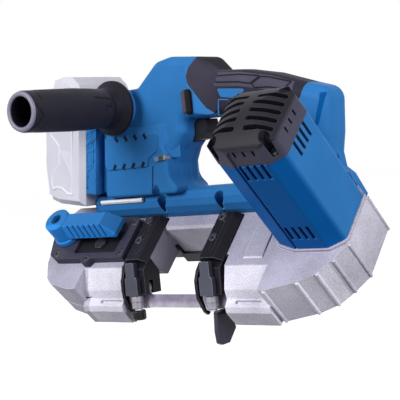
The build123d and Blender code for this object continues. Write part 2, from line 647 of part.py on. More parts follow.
stop = along(face(fin), REAR_GUIDE - 2, REAR_GUIDE + 2)
stop_u = (REAR_GUIDE - 8, REAR_GUIDE + 8)
stop += block(stop_u, (HEAD_BACK, HEAD_BACK + 3.5), (-9.4, 22))
stop += block(stop_u, (HEAD_BACK - 9, HEAD_BACK + 3.5), (-12.4, -9.4))
work_stop = stop

# Frame casting
rim_right = DRIVE_U + 62.1
rim_left = IDLER_U - 56.5
facets = [(NOSE_REACH + 6, -9), (DRIVE_U + 25.6, -0.5), (DRIVE_U + 41.6, 8.5), (DRIVE_U + 52.6, 22)]
facets += [(rim_right, 38), (rim_right, 88)]
lobe_right = [(NOSE_RIGHT, NOSE_W), (NOSE_REACH, NOSE_W), (NOSE_REACH, -8.5)] + facets
lobe_right += [(rim_right - 8.5, SPINE_TOP), (NOSE_RIGHT, SPINE_TOP)]
lobe_left = [(NOSE_LEFT, NOSE_W), (-NOSE_REACH + 8, NOSE_W), (-NOSE_REACH + 8, -6), (-NOSE_REACH, -6.5)]
lobe_left += [(-NOSE_REACH - 12, -4), (IDLER_U - 32, 0.5), (IDLER_U - 40, 7), (IDLER_U - 51, 26), (rim_left, 50)]
lobe_left += [(rim_left, 86), (rim_left + 9.5, SPINE_TOP), (NOSE_LEFT, SPINE_TOP)]
nose = [(NOSE_W, FRONT_H), (1, 15.6), (-3.2, 8), (-10.5, 6), (-13.5, 1.5), (-13.5, BACK_H), (30, BACK_H)]
nose += [(30, FRONT_H)]
cover_outline = face(lobe_right) + face(lobe_left)
spine = [(NOSE_LEFT, SPINE_LOW), (NOSE_RIGHT, SPINE_LOW), (NOSE_RIGHT, SPINE_TOP), (NOSE_LEFT, SPINE_TOP)]
cover_outline += face(spine)
casting = prism(cover_outline, BACK_H, FRONT_H)
casting += along(face(nose), NOSE_RIGHT, NOSE_REACH + 2)
casting += along(face(nose), -NOSE_REACH + 6, NOSE_LEFT)
for u, w in facets:
    casting += rod(RIDGE, BACK_H, FRONT_H - RIDGE, (u, w))
cheek = [(THROAT_STEP, FRONT_H), (THROAT_STEP - 2.2, 9), (THROAT_STEP + 3, WALL_BACK_H)]
cheek += [(SPINE_LOW + 1, WALL_BACK_H), (SPINE_LOW + 1, FRONT_H)]
casting += along(face(cheek), NOSE_LEFT - 2, THROAT_LEFT)
casting += along(face(cheek), THROAT_RIGHT, NOSE_RIGHT + 2)
casting += prism(motor_outline(1.5, 5), FRONT_H, PLINTH_TOP)
room = WHEEL_RADIUS + BAND_GAP + BAND_THICK + WHEEL_ROOM - 0.6
casting -= rod(room, BACK_H, FLOOR_H, DRIVE_AT)
casting -= obround(room, IDLER_AT, (IDLER_U + TENSION_TRAVEL, WHEEL_W), BACK_H, FLOOR_H)
channel = [(-0.5, 8.6), (7, 8.6), (7, BACK_H - 1), (-7.5, BACK_H - 1), (-7.5, -1.5)]
casting -= along(face(channel), NOSE_RIGHT - 1, DRIVE_U)
casting -= along(face(channel), IDLER_U, NOSE_LEFT + 1)
pocket_w = (SPINE_LOW + SPINE_WALL, SPINE_TOP - SPINE_WALL)
casting -= block((NOSE_LEFT - 20, NOSE_RIGHT + 20), pocket_w, (BACK_H, FLOOR_H + 8))
casting -= block((IDLER_U, DRIVE_U), (2 * WHEEL_W - 4, 2 * WHEEL_W + 4), (BACK_H, FLOOR_H))
casting -= prism(gear_outline(2.4), FLOOR_H, PLATE_TOP)
casting -= prism(gear_outline(0), PLATE_TOP, POCKET_TOP)
casting -= rod(RACE_RADIUS, POCKET_TOP - 1.5, POCKET_TOP + 4, DRIVE_AT)
casting -= rod(CLUSTER_PIN, POCKET_TOP, POCKET_TOP + 3, MIDDLE_AT)
casting -= rod(SMALL_GEAR_TIP + POCKET_GAP, POCKET_TOP, PLINTH_TOP, MOTOR_AT)
slide_gap = FIT_GAP
slide_room = block((bar_left - slide_gap, slide_right + TENSION_TRAVEL + slide_gap),
                   (WHEEL_W - SLIDE_HALF - slide_gap, WHEEL_W + SLIDE_HALF + slide_gap), (SLIDE_LOW - 0.2, FRONT_H))
slide_room += block((slide_left - slide_gap, tab_right + TENSION_TRAVEL + slide_gap),
                    (tab_low - slide_gap, tab_top + slide_gap), (SLIDE_LOW - 0.2, FRONT_H))
casting -= slide_room
casting -= obround(IDLER_PIN + 0.6, IDLER_AT, (IDLER_U + TENSION_TRAVEL, WHEEL_W), FLOOR_H, SLIDE_LOW)
casting -= block((NOSE_RIGHT + 18.3, NOSE_RIGHT + 37.3), (NOSE_W + 8, 60), (FRONT_H - 1.2, FRONT_H))
edge = [(SPINE_LOW - 1, FRONT_H - 3.2), (SPINE_LOW + 3.2, FRONT_H + 1), (SPINE_LOW - 1, FRONT_H + 1)]
casting -= along(face(edge), THROAT_LEFT, THROAT_RIGHT)
for middle in (NOSE_LEFT - 15, NOSE_RIGHT + 24):
    casting -= prism(Pos(middle, -6) * SlotOverall(28, 3.2), 4.8, 10)
seam = face(lobe_left) - offset(face(lobe_left), -1.4)
casting -= prism(seam, -1.2, 0.6) & block((-200, 8 - NOSE_REACH), (-40, 80), (-5, 5))
body_screw_spots = [(-24.0, 81.5), (44.0, 81.5)]
body_seat = FRONT_H + 4
body_screw_set = [face_screw(spot, body_seat) for spot in body_screw_spots]
cover_spots = [(rim_left + 8.5, 60), (-62, 24), (-24, 92), (44, 92), (73, 24), (rim_right - 8.5, 62)]
back_seat = COVER_THICK - BACK_H - 2.2
back_set = [Rot(0, 180, 0) * screw((-u, w), back_seat, 3.4, 1.6, 9, 2.0) for u, w in cover_spots]
for piece in cover_screws + guide_screws + body_screw_set + back_set + [pivot]:
    casting -= piece
frame_casting = to_loop(casting)

# Back cover with the guard that reaches into the throat
lip_right = NOSE_REACH - 1
lip_low = LID_INSET - 13.5
lip_top = NOSE_W + 12
lip_outline = face([(NOSE_RIGHT, lip_low), (lip_right, lip_low), (lip_right, lip_top), (NOSE_RIGHT, lip_top)])
lip_left = 9 - NOSE_REACH
lip_outline += face([(lip_left, lip_low), (NOSE_LEFT, lip_low), (NOSE_LEFT, lip_top), (lip_left, lip_top)])
guard_low = SPINE_LOW - 3
lip_outline += face([(THROAT_LEFT, guard_low), (THROAT_RIGHT, guard_low), (THROAT_RIGHT, 80), (THROAT_LEFT, 80)])
lip_outline += face([(-34, 80), (54, 80), (54, SPINE_TOP), (-34, SPINE_TOP)])
lid = prism(offset(cover_outline, -LID_INSET) + lip_outline, BACK_H - COVER_THICK, BACK_H)
lid += block((THROAT_LEFT, THROAT_LEFT + 3), (SPINE_LOW - 3, SPINE_LOW), (BACK_H - COVER_THICK, 4))
lid += block((THROAT_LEFT, THROAT_RIGHT), (SPINE_LOW - 3, SPINE_LOW), (BACK_H - COVER_THICK, WALL_BACK_H - 4))
for spot in (DRIVE_AT, IDLER_AT):
    lid -= Pos(*spot, BACK_H - COVER_THICK) * extrude(Circle(34) - Circle(32), 1.2)
    for place in PolarLocations(20.0, 5):
        lid -= Pos(*spot, BACK_H - COVER_THICK) * place * extrude(SlotOverall(16, 4), COVER_THICK)
for u, w in cover_spots:
    lid -= rod(3.8, BACK_H - COVER_THICK, BACK_H - COVER_THICK + 2.2, (u, w))
for piece in back_set:
    lid -= piece
back_cover = to_loop(lid)
back_cover_screws = group([to_loop(piece) for piece in back_set])

# Moulded body: lower block, raised pad, neck, D handle and beam
def slab(shape, front, back, rounding):
    part = across(shape, BODY_Y - front, BODY_Y + back)
    sides = part.faces().sort_by(Axis.Y)
    return fillet(sides[0].edges() + sides[-1].edges(), rounding)


def both_sides(part):
    return part + mirror(part, Plane.XZ.offset(-BODY_Y))


block_corners = [(-89, 97, 4), (-83, 140, 4), (-81, 154, 4), (-18, 154, 4), (-7, 134, 4), (-7, 112, 14), (8, 97, 4)]
lower_block = slab(rounded(block_corners), COLUMN_HALF, COLUMN_BACK, COLUMN_EDGE)
pad_front = BODY_Y - COLUMN_HALF
pad_back = BODY_Y - NECK_HALF + 5
pad_face = face([(-82, 131), (-79.5, 155.5), (-14, 155.5), (-14, 136), (-20, 131)])
pad_base = face([(-82, 127), (-76, 168), (-4, 168.5), (3, 160), (2, 130)])
pad = loft([Plane.XZ.offset(-pad_back) * pad_base, Plane.XZ.offset(-pad_front) * pad_face], ruled=True)
neck_corners = [(-78, 104, 10), (-76, 198, 10), (-43, 198.5, 10), (-17, 220, 12), (0, 222.8, 20), (34, 218.5, 12)]
neck_corners += [(54, 197, 10), (53, 172, 10), (44, 164, 10), (11.5, 164, 6), (11.5, 151, 6), (1.5, 138.5, 8)]
neck_corners += [(HOLE_LEFT - 2.5, 129, 6), (HOLE_LEFT - 2.5, 104, 10)]
outer_corners = [(-40, 74, 13), (-40, 203, 13), (40, 205.4, 13), (75, 201.8, 30), (106, 195, 30), (142, 182.6, 13)]
outer_corners += [(164.5, 175.5, 13), (161.5, 138, 13), (155.5, 106, 13), (152, 74, 13)]
hole_corners = [(13, 163, 6), (60, 162, 20), (116, 151, 14), (127.5, 139, 14), (125, 114, 14), (117, HOLE_LOW, 10)]
hole_corners += [(8, HOLE_LOW, 8), (HOLE_LEFT, 108, 8), (HOLE_LEFT, 124, 8), (2.5, 136.5, 8), (10, 144, 5), (13, 150, 5)]
neck_shape = rounded(neck_corners)
loop_shape = rounded(outer_corners)
hole_shape = rounded(hole_corners)


def make_handle(inset):
    front = NECK_HALF - inset
    back = NECK_BACK - inset
    neck = slab(offset(neck_shape, -inset) if inset else neck_shape, front, back, NECK_EDGE - inset)
    near = [(21, -front), (62, NECK_TAPER - front), (62, -front - 4), (21, -front - 4)]
    far = [(21, back), (62, back - NECK_TAPER / 3), (62, back + 4), (21, back + 4)]
    for wedge in (near, far):
        neck -= Pos(0, BODY_Y, 90) * extrude(face(wedge), 150)
    ends = loop_shape - hole_shape
    if inset:
        ends = offset(loop_shape, -inset) - offset(hole_shape, inset)
    return neck + slab(ends, GRIP_HALF - inset, GRIP_HALF - inset, GRIP_ROUND - inset)


handle = make_handle(0)
core = make_handle(RUBBER_THICK)
beam_points = [(36.5, 70), (36.5, 74), (29, 78.5), (24, 85), (23, 92), (27, 98.5), (33, 101), (60, 101), (69, 96)]
beam_points += [(75, 86), (75, 66), (60, 62)]
beam = along(face(beam_points), BEAM_LEFT, BEAM_RIGHT)
beam = chamfer(beam.faces().sort_by(Axis.X)[0].edges(), 3)
foot_points = [(124, 80), (FOOT_RIGHT - 4, 74), (FOOT_RIGHT, 84), (168, 102), (160.5, 108), (158, 124), (130, 124)]
foot = across(face(foot_points), BODY_Y, BODY_Y + FOOT_DEEP)
foot = chamfer(foot.faces().sort_by(Axis.Y)[-1].edges(), 4)
body = lower_block + pad + handle + beam + foot
zone_points = [(31, 232), (31, 216), (24, 209), (21, 202), (22, 195), (30, 183), (38, 171.5), (52, 162), (56, 140)]
zone_points += [(112, 140), (132, 160), (139, 172), (142, 182), (142, 200), (100, 232)]
rubber_zone = across(face(zone_points), BODY_Y - 40, BODY_Y + 40)
window = across(face([(50, 187.5), (85, 183.5), (67, 177.5), (54, 179.5)], 1.5), BODY_Y - 40, BODY_Y - 10)
grip_overmould = ((handle - core) & rubber_zone) - both_sides(window)
body -= grip_overmould
panel_points = [(-83.5, 128), (-80.5, 124), (-30.5, 124), (-28, 132), (-18, 137), (-14, 154.5), (-80.5, 154.5)]
panel_front = BODY_Y - COLUMN_HALF - 1.4
panel = across(face(panel_points, 2), panel_front, BODY_Y - COLUMN_HALF + 6)
for index in range(4):
    for x, z, turn in ((-67.5, 154.5, -30), (-73, 124, 30)):
        panel -= Pos(x + index * 12, panel_front, z) * Rot(0, turn, 0) * Box(3, 3, 7)
body += panel
body -= Pos(-26, BODY_Y - COLUMN_HALF, 112) * Rot(0, 8, 0) * Box(2, 2.4, 24)
boss = across(Pos(AUX_X, AUX_Z) * Circle(19), AUX_SEAT, BODY_Y - COLUMN_HALF + 8)
body += boss
bridge = across(face([(-98, 104), (-80, 100), (-72, 192), (-88, 192)]), BODY_Y - NECK_HALF + 2, BODY_Y + NECK_BACK - 2)
body += bridge
casting_room = block((-200, 200), (-60, SPINE_TOP), (-80, FRONT_H))
body -= to_loop(casting_room)
body -= to_loop(prism(motor_outline(1.5, 5), FRONT_H - 1, CAP_TOP + 8))


# Battery shoe, terminals, pack and latch
def to_pack(part):
    return Pos(*PACK_AT) * Rot(0, PACK_LEAN, 0) * part


shoe = block((0.2, SHOE_DEPTH), (-SHOE_HALF, SHOE_HALF), (SHOE_LOW, SHOE_HIGH))
tongue_low = -34.0
seat_low = tongue_low - 5.0
shoe -= block((0, 4.4), (-TONGUE_HALF - FIT_GAP, TONGUE_HALF + FIT_GAP), (seat_low, SHOE_HIGH))
shoe -= block((4.4 - FIT_GAP, 8.6), (-TONGUE_FLANGE - FIT_GAP, TONGUE_FLANGE + FIT_GAP), (seat_low, SHOE_HIGH))
for index in range(9):
    z = SHOE_LOW + 9 + index * 10
    for side in (-1, 1):
        shoe -= Pos(SHOE_DEPTH / 2, side * SHOE_HALF, z) * Rot(0, -35, 0) * Box(16, 2.4, 2.2)
battery_shoe = to_pack(shoe)
blades = [block((5.6, 6.4), (y - 3, y + 3), (seat_low, tongue_low - 0.2)) for y in (-14, 0, 14)]
battery_terminals = group([to_pack(blade) for blade in blades])
pack_points = [(-PACK_DEPTH, -22), (4 - PACK_DEPTH, -47), (9.5 - PACK_DEPTH, -56.5), (-34, PACK_LOW), (0, PACK_LOW)]
pack_points += [(0, 46), (-5, 51), (-9.5, 58.5), (-18, PACK_HIGH), (-30, PACK_HIGH), (-42, 62), (2 - PACK_DEPTH, 33)]
pack_points += [(-PACK_DEPTH, 13)]
pack = across(face(pack_points), -PACK_HALF, PACK_HALF)
pack_sides = pack.faces().sort_by(Axis.Y)
pack = chamfer(pack_sides[0].edges() + pack_sides[-1].edges(), PACK_EDGE)
tongue_high = 40.0
pack += block((0, 4.1), (-TONGUE_HALF, TONGUE_HALF), (tongue_low, tongue_high))
pack += block((4.4, 8.3), (-TONGUE_FLANGE, TONGUE_FLANGE), (tongue_low, tongue_high))
pack += block((4.0, 4.5), (-TONGUE_HALF, TONGUE_HALF), (tongue_low, tongue_high))
latch_u = (-PACK_DEPTH - 1.6, -PACK_DEPTH + 4)
pack -= block((-PACK_DEPTH - 2, latch_u[1] + LATCH_TRAVEL + 0.3), (-13.3, 13.3), (LATCH_LOW - 0.3, LATCH_HIGH + 0.3))
battery_pack = to_pack(pack)
latch = block(latch_u, (-13, 13), (LATCH_LOW, LATCH_HIGH))
for index in range(3):
    latch -= Pos(latch_u[0], 0, LATCH_LOW + 3.5 + index * 4) * Box(1.6, 22, 1.4)
battery_latch = to_pack(latch)
body -= to_pack(block((-90, FIT_GAP), (-PACK_HALF - 6, PACK_HALF + 6), (PACK_LOW - 2 * FIT_GAP, PACK_HIGH + 30)))
body -= to_pack(block((0, SHOE_DEPTH), (-SHOE_HALF - 6, SHOE_HALF + 6), (SHOE_LOW, PACK_HIGH + 30)))

# Trigger, switch, lock button, board, lamp, hex key and side handle
paddle = [(-1, 146), (12, 143.5), (20, 144.5), (25.5, 149.5), (27.5, 156), (26.5, 162.5), (-1, 162.5)]
trigger = across(face(paddle, 1.5), BODY_Y - TRIGGER_HALF, BODY_Y + TRIGGER_HALF)
switch_right = -1 - TRIGGER_TRAVEL - 0.4
trigger_half = TRIGGER_HALF + FIT_GAP
trigger_room = block((switch_right, 40), (BODY_Y - trigger_half, BODY_Y + trigger_half), (142.8, 163.4))
switch_box = block((switch_right - 34, switch_right), (BODY_Y - 12, BODY_Y + 12), (142, 170))
trigger_switch = switch_box
board_box = block((-66, -60), (BODY_Y - 20, BODY_Y + 14), (110, 160))
board_box += block((-60, -48), (BODY_Y - 14, BODY_Y + 14), (118, 150))
control_board = board_box
lock_front = BODY_Y - NECK_HALF - LOCK_STAND
lock_back = BODY_Y + NECK_BACK
lock_middle = (LOCK_LOW + LOCK_HIGH) / 2
lock_shape = Pos(LOCK_X, lock_middle) * RectangleRounded(2 * LOCK_HALF_X, LOCK_HIGH - LOCK_LOW, 3)
lock_button = across(lock_shape, lock_front, lock_back)
lock_button = chamfer(lock_button.faces().sort_by(Axis.Y)[0].edges(), 1.8)
lock_hole = Pos(LOCK_X, lock_middle) * RectangleRounded(2 * LOCK_HALF_X + 0.6, LOCK_HIGH - LOCK_LOW + 0.6, 3.3)
lock_room = across(lock_hole, lock_front - 10, lock_back + 10)
lens_shape = Pos(-13.5, 130.5) * Rot(0, 0, 3) * SlotOverall(14, 4.4)
led_lens = across(lens_shape, BODY_Y - COLUMN_HALF - 2.2, BODY_Y - COLUMN_HALF + 5)
key_y = 23.0
key_z = 93.0
key_left = -101.0
key_right = -47.0
hex_key = along(Pos(key_y, key_z) * RegularPolygon(2.3, 6), key_left, key_right)
hex_key += across(Pos(key_left + 2, key_z) * RegularPolygon(2.3, 6), key_y, key_y + 17)
key_room = block((key_left - 4, key_right + 3), (key_y - 6, key_y + 2.5), (key_z - 2.6, key_z + 2.6))
key_room += block((key_left - 0.6, key_left + 4.6), (key_y, key_y + 17.2), (key_z - 2.6, key_z + 2.6))
aux_points = [(0, AUX_SEAT), (AUX_FLANGE - 1, AUX_SEAT), (AUX_FLANGE, AUX_SEAT - 1.5), (AUX_FLANGE, AUX_SEAT - 4.5)]
aux_points += [(AUX_FLANGE - 2, AUX_SEAT - 6.5), (AUX_RADIUS + 1.5, AUX_SEAT - 10), (AUX_RADIUS - 0.3, AUX_SEAT - 16)]
aux_points += [(AUX_RADIUS + 0.6, -45), (AUX_RADIUS, -80), (AUX_RADIUS - 0.4, -90), (AUX_RADIUS - 1.2, -91.5)]
aux_points += [(AUX_RADIUS - 1.2, -94), (AUX_RADIUS - 0.2, -95.5), (AUX_RADIUS - 0.6, AUX_END + 2)]
aux_points += [(AUX_RADIUS - 2.2, AUX_END), (AUX_BORE + 0.8, AUX_END), (AUX_BORE, AUX_END + 1.5), (AUX_BORE, -12)]
aux_points += [(0, -12)]
aux = revolve(Plane.XY * face(aux_points), Axis.Y)
bolt = Rot(90, 0, 0) * (rod(AUX_BOLT, -34, 12) + rod(7.5, 12, 18))
bolt -= Rot(90, 0, 0) * extrude(Pos(0, 0, 14) * RegularPolygon(3.4, 6), 6)
aux -= bolt
aux_handle = Pos(AUX_X, 0, AUX_Z) * aux
aux_handle_bolt = Pos(AUX_X, 0, AUX_Z) * bolt

# Cuts in the body for all that sits in it, then the two halves
for spot in body_screw_spots:
    body -= to_loop(rod(5.2, body_seat, 90, spot))
for piece in body_screw_set:
    body -= to_loop(piece)
for piece in (trigger_room, trigger_switch, control_board, lock_room, led_lens, key_room, aux_handle_bolt):
    body -= piece
face_screws = group([to_loop(piece) for piece in cover_screws + guide_screws + body_screw_set])
body_shell_left = split(body, Plane.XZ.offset(-BODY_Y), keep=Keep.TOP)
body_shell_right = split(body, Plane.XZ.offset(-BODY_Y), keep=Keep.BOTTOM)
saw_band = make_band()

NODES = {
    "frame_casting": frame_casting, "back_cover": back_cover, "back_cover_screws": back_cover_screws,
    "saw_band": saw_band, "drive_wheel": drive_wheel, "drive_tyre": drive_tyre, "drive_shaft": drive_shaft,
    "drive_gear": drive_gear, "wheel_bolt": wheel_bolt, "shaft_bearings": shaft_bearings,
    "gearbox_plate": gearbox_plate, "cluster_gear": cluster_gear, "cluster_pin": cluster_pin,
    "idler_wheel": idler_wheel, "idler_tyre": idler_tyre, "idler_bearing": idler_bearing,
    "tension_slide": tension_slide, "axle_clip": axle_clip, "tension_lever": tension_lever,
    "lever_shaft": lever_shaft, "tension_cover": tension_cover, "face_screws": face_screws,
    "pivot_bolt": pivot_bolt, "guide_arms": guide_arms, "guide_heads": guide_heads, "guide_fingers": guide_fingers,
    "guide_shields": guide_shields, "roller_pins": roller_pins,
    "front_guide_cap": front_guide_cap, "work_stop": work_stop, "body_shell_left": body_shell_left,
    "body_shell_right": body_shell_right, "grip_overmould": grip_overmould,
    "trigger": trigger, "trigger_switch": trigger_switch, "lock_button": lock_button,
    "control_board": control_board, "led_lens": led_lens, "hex_key": hex_key, "battery_shoe": battery_shoe,
    "battery_terminals": battery_terminals, "battery_pack": battery_pack, "battery_latch": battery_latch,
    "aux_handle": aux_handle, "aux_handle_bolt": aux_handle_bolt, "motor_housing": motor_housing,
    "motor_cap": motor_cap, "motor_cap_screws": motor_cap_screws, "motor_can": motor_can,
    "motor_magnets": motor_magnets, "rotor": rotor, "motor_pinion": motor_pinion, "cooling_fan": cooling_fan,
}
for place, at in (("front", FRONT_GUIDE), ("rear", REAR_GUIDE)):
    NODES[place + "_outer_roller"] = make_roller(at, -1)
    NODES[place + "_inner_roller"] = make_roller(at, 1)
    NODES[place + "_thrust_roller"] = make_thrust(at)

os.makedirs("parts", exist_ok=True)
for name, part in NODES.items():
    export_step(part, os.path.join("parts", name + ".step"))
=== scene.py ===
"""Looks of a cordless band saw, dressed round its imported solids."""

import json
import logging
import math
from dataclasses import dataclass, replace
from enum import Enum

import bpy
import numpy as np
from mathutils import Matrix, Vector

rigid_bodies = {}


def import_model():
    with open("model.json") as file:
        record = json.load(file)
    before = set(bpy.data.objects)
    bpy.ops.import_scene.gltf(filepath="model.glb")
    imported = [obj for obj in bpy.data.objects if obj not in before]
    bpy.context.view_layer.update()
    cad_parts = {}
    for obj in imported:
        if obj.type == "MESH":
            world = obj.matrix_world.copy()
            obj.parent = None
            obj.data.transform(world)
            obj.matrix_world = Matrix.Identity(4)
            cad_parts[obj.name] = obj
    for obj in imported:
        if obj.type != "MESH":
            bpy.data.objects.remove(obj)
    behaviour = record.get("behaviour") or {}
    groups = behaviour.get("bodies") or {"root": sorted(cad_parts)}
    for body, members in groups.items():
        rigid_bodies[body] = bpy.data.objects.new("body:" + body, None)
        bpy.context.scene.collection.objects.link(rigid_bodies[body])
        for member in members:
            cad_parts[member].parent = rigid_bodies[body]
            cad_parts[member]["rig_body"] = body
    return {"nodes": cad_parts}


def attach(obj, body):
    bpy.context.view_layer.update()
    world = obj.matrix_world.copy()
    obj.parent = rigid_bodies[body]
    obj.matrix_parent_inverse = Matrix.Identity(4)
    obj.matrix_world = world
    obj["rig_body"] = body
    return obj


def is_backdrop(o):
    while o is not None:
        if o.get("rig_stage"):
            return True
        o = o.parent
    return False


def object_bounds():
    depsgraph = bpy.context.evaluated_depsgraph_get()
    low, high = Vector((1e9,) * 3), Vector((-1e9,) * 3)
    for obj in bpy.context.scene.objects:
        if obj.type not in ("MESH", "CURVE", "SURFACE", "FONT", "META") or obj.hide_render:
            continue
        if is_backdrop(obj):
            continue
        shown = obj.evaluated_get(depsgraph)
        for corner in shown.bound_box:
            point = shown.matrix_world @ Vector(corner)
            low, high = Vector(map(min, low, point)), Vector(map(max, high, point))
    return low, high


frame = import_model()

LOG = logging.getLogger("band_saw")
MM = 0.001
GROOVE = "groove"
FAINT = 0.6
TONE_LOW, TONE_HIGH = 0.3, 0.7
HANDLE_SIDE, HANDLE_ROUND = 27.0, 12.0
Array = np.ndarray
Grid = tuple[int, int]
Pair = tuple[float, float]
Row = tuple[float, ...]
Point = tuple[float, float, float]
Path = tuple[Pair, ...]
Reach = tuple[float, float, float, float]
Colour = tuple[float, float, float, float]
Display = tuple[int, int, int]
Node = bpy.types.Node
Piece = bpy.types.Object
Socket = bpy.types.NodeSocket
Tree = bpy.types.NodeTree
WHITE: Colour = (1.0, 1.0, 1.0, 1.0)
MADE: dict[str, bpy.types.Material] = {}


def paint(display: Display) -> Colour:
    """Turn a display colour of 0 to 255 into the linear colour that a shader takes.

    Args:
        display: red, green and blue share of the display colour.

    Returns:
        The linear colour with full cover.
    """
    share = np.array(display) / 255.0
    low = share / 12.92
    high = ((share + 0.055) / 1.055) ** 2.4
    linear = np.where(share <= 0.04045, low, high)
    return (*linear.tolist(), 1.0)


def feed(tree: Tree, node: Node, entries: dict) -> None:
    """Link each socket to an input of a node, or write a plain value there, by the input's name or number."""
    for slot, entry in entries.items():
        if isinstance(entry, Socket):
            tree.links.new(entry, node.inputs[slot])
        else:
            node.inputs[slot].default_value = entry


def add_node(tree: Tree, kind: str, entries: dict | None = None, **settings: object) -> Node:
    """Add a shader node with its settings and feed it.

    Args:
        tree: node tree that it goes into.
        kind: type of the node, without the word that all types start with.
        entries: what each input is fed.
        settings: properties of the node by name.

    Returns:
        The new node.
    """
    node = tree.nodes.new("ShaderNode" + kind)
    for name, value in settings.items():
        setattr(node, name, value)
    feed(tree, node, entries or {})
    return node


def maths(tree: Tree, operation: str, first: Socket | float, second: Socket | float, clamp: bool = False) -> Socket:
    """Outcome of one operation on two sockets or numbers, kept from nought to one if clamped."""
    return add_node(tree, "Math", {0: first, 1: second}, operation=operation, use_clamp=clamp).outputs[0]


def mix(tree: Tree, share: Socket | float, under: Socket, over: Socket | Colour, blend: str = "MIX") -> Socket:
    """Colour under another colour that covers it by a share."""
    entries = {"Factor": share, "A": under, "B": over}
    return add_node(tree, "Mix", entries, data_type="RGBA", blend_type=blend).outputs["Result"]


class Effect(Enum):
    """Shader node groups that several finishes share."""

    EDGE = "edge_softening"
    GRAIN = "moulded_grain"
    SPECKLE = "cast_speckle"
    BRUSH = "drawn_lines"
    ZONE = "painted_light_zone"


class EffectShop:
    """Builds each shared shader node group once."""

    STRETCH = (0.025, 1.0, 1.0)

    @staticmethod
    def start(effect: Effect, inputs: dict[str, float], outputs: tuple[str, ...] = ("Height", "Tone")) -> tuple:
        """Open an empty node group with its sockets.

        Args:
            effect: which group is built.
            inputs: name and default of each number that it takes.
            outputs: name of each value that it puts out, a vector where that is the normal.

        Returns:
            The group, the sockets that its inputs come in by, and its output node.
        """
        tree = bpy.data.node_groups.new(effect.value, "ShaderNodeTree")
        for name, default in inputs.items():
            socket = tree.interface.new_socket(name, in_out="INPUT", socket_type="NodeSocketFloat")
            socket.default_value = default
        for name in outputs:
            kind = "NodeSocketVector" if name == "Normal" else "NodeSocketFloat"
            tree.interface.new_socket(name, in_out="OUTPUT", socket_type=kind)
        return tree, tree.nodes.new("NodeGroupInput").outputs, tree.nodes.new("NodeGroupOutput")

    @classmethod
    def get(cls, effect: Effect) -> Tree:
        """Give the group of that effect, built on its first use."""
        if effect.value in bpy.data.node_groups:
            return bpy.data.node_groups[effect.value]
        return getattr(cls, effect.name.lower())()

    @classmethod
    def use(cls, tree: Tree, effect: Effect, entries: dict) -> Node:
        """Put the group of that effect into a tree and feed it."""
        return add_node(tree, "Group", entries, node_tree=cls.get(effect))

    @staticmethod
    def place(tree: Tree) -> Socket:
        """Place of each point in the coordinates of its own object."""
        return add_node(tree, "TexCoord").outputs["Object"]

    @classmethod
    def noise(cls, tree: Tree, scale: Socket, detail: float, factor: float = 1.0) -> Socket:
        """Noise over an object with that many octaves, its scale a multiple of a socket."""
        times = maths(tree, "MULTIPLY", scale, factor)
        return add_node(tree, "TexNoise", {"Vector": cls.place(tree), "Scale": times, "Detail": detail}).outputs["Fac"]

    @classmethod
    def edge(cls) -> Tree:
        """Rounded normal along edges, and a mask that is one where that normal leaves the face's own."""
        tree, source, sink = cls.start(Effect.EDGE, {"Radius": 0.0006, "Spread": 0.35}, ("Normal", "Mask"))
        normal = add_node(tree, "Bevel", {"Radius": source["Radius"]}, samples=6).outputs["Normal"]
        face = add_node(tree, "NewGeometry").outputs["Normal"]
        alike = add_node(tree, "VectorMath", {0: normal, 1: face}, operation="DOT_PRODUCT").outputs["Value"]
        apart = maths(tree, "SUBTRACT", 1.0, alike)
        feed(tree, sink, {"Normal": normal, "Mask": maths(tree, "DIVIDE", apart, source["Spread"], clamp=True)})
        return tree

    @classmethod
    def grain(cls) -> Tree:
        """Fine spark-eroded skin of a moulding with a slow drift of tone under it."""
        tree, source, sink = cls.start(Effect.GRAIN, {"Scale": 1600.0})
        fine = cls.noise(tree, source["Scale"], detail=3.0)
        feed(tree, sink, {"Height": fine, "Tone": cls.noise(tree, source["Scale"], detail=2.0, factor=0.02)})
        return tree

    @classmethod
    def speckle(cls) -> Tree:
        """Pitted skin of a blasted casting: cells for its height, and fine and slow noise for its tone."""
        tree, source, sink = cls.start(Effect.SPECKLE, {"Scale": 900.0})
        fine = cls.noise(tree, source["Scale"], detail=4.0)
        slow = cls.noise(tree, source["Scale"], detail=2.0, factor=0.03)
        cells = add_node(tree, "TexVoronoi", {"Vector": cls.place(tree), "Scale": source["Scale"]})
        mean = maths(tree, "MULTIPLY", maths(tree, "ADD", fine, slow), 0.5)
        feed(tree, sink, {"Height": cells.outputs["Distance"], "Tone": mean})
        return tree

    @classmethod
    def brush(cls) -> Tree:
        """Lines drawn along X: noise that is stretched forty times in that direction."""
        tree, source, sink = cls.start(Effect.BRUSH, {"Scale": 2500.0})
        drawn = add_node(tree, "Mapping", {"Vector": cls.place(tree), "Scale": cls.STRETCH}).outputs["Vector"]
        lines = add_node(tree, "TexNoise", {"Vector": drawn, "Scale": source["Scale"], "Detail": 3.0}).outputs["Fac"]
        feed(tree, sink, {"Height": lines, "Tone": cls.noise(tree, source["Scale"], detail=3.0, factor=0.05)})
        return tree

    @classmethod
    def zone(cls) -> Tree:
        """Mask that turns from nought to one across a plane: place along a direction, less a level, over a width."""
        inputs = {"X": 0.0, "Y": 0.0, "Z": 1.0, "Level": 0.0, "Width": 0.001}
        tree, source, sink = cls.start(Effect.ZONE, inputs, ("Mask",))
        heading = add_node(tree, "CombineXYZ", {axis: source[axis] for axis in "XYZ"}).outputs["Vector"]
        along = add_node(tree, "VectorMath", {0: cls.place(tree), 1: heading}, operation="DOT_PRODUCT").outputs["Value"]
        past = maths(tree, "SUBTRACT", along, source["Level"])
        feed(tree, sink, {"Mask": maths(tree, "DIVIDE", past, source["Width"], clamp=True)})
        return tree


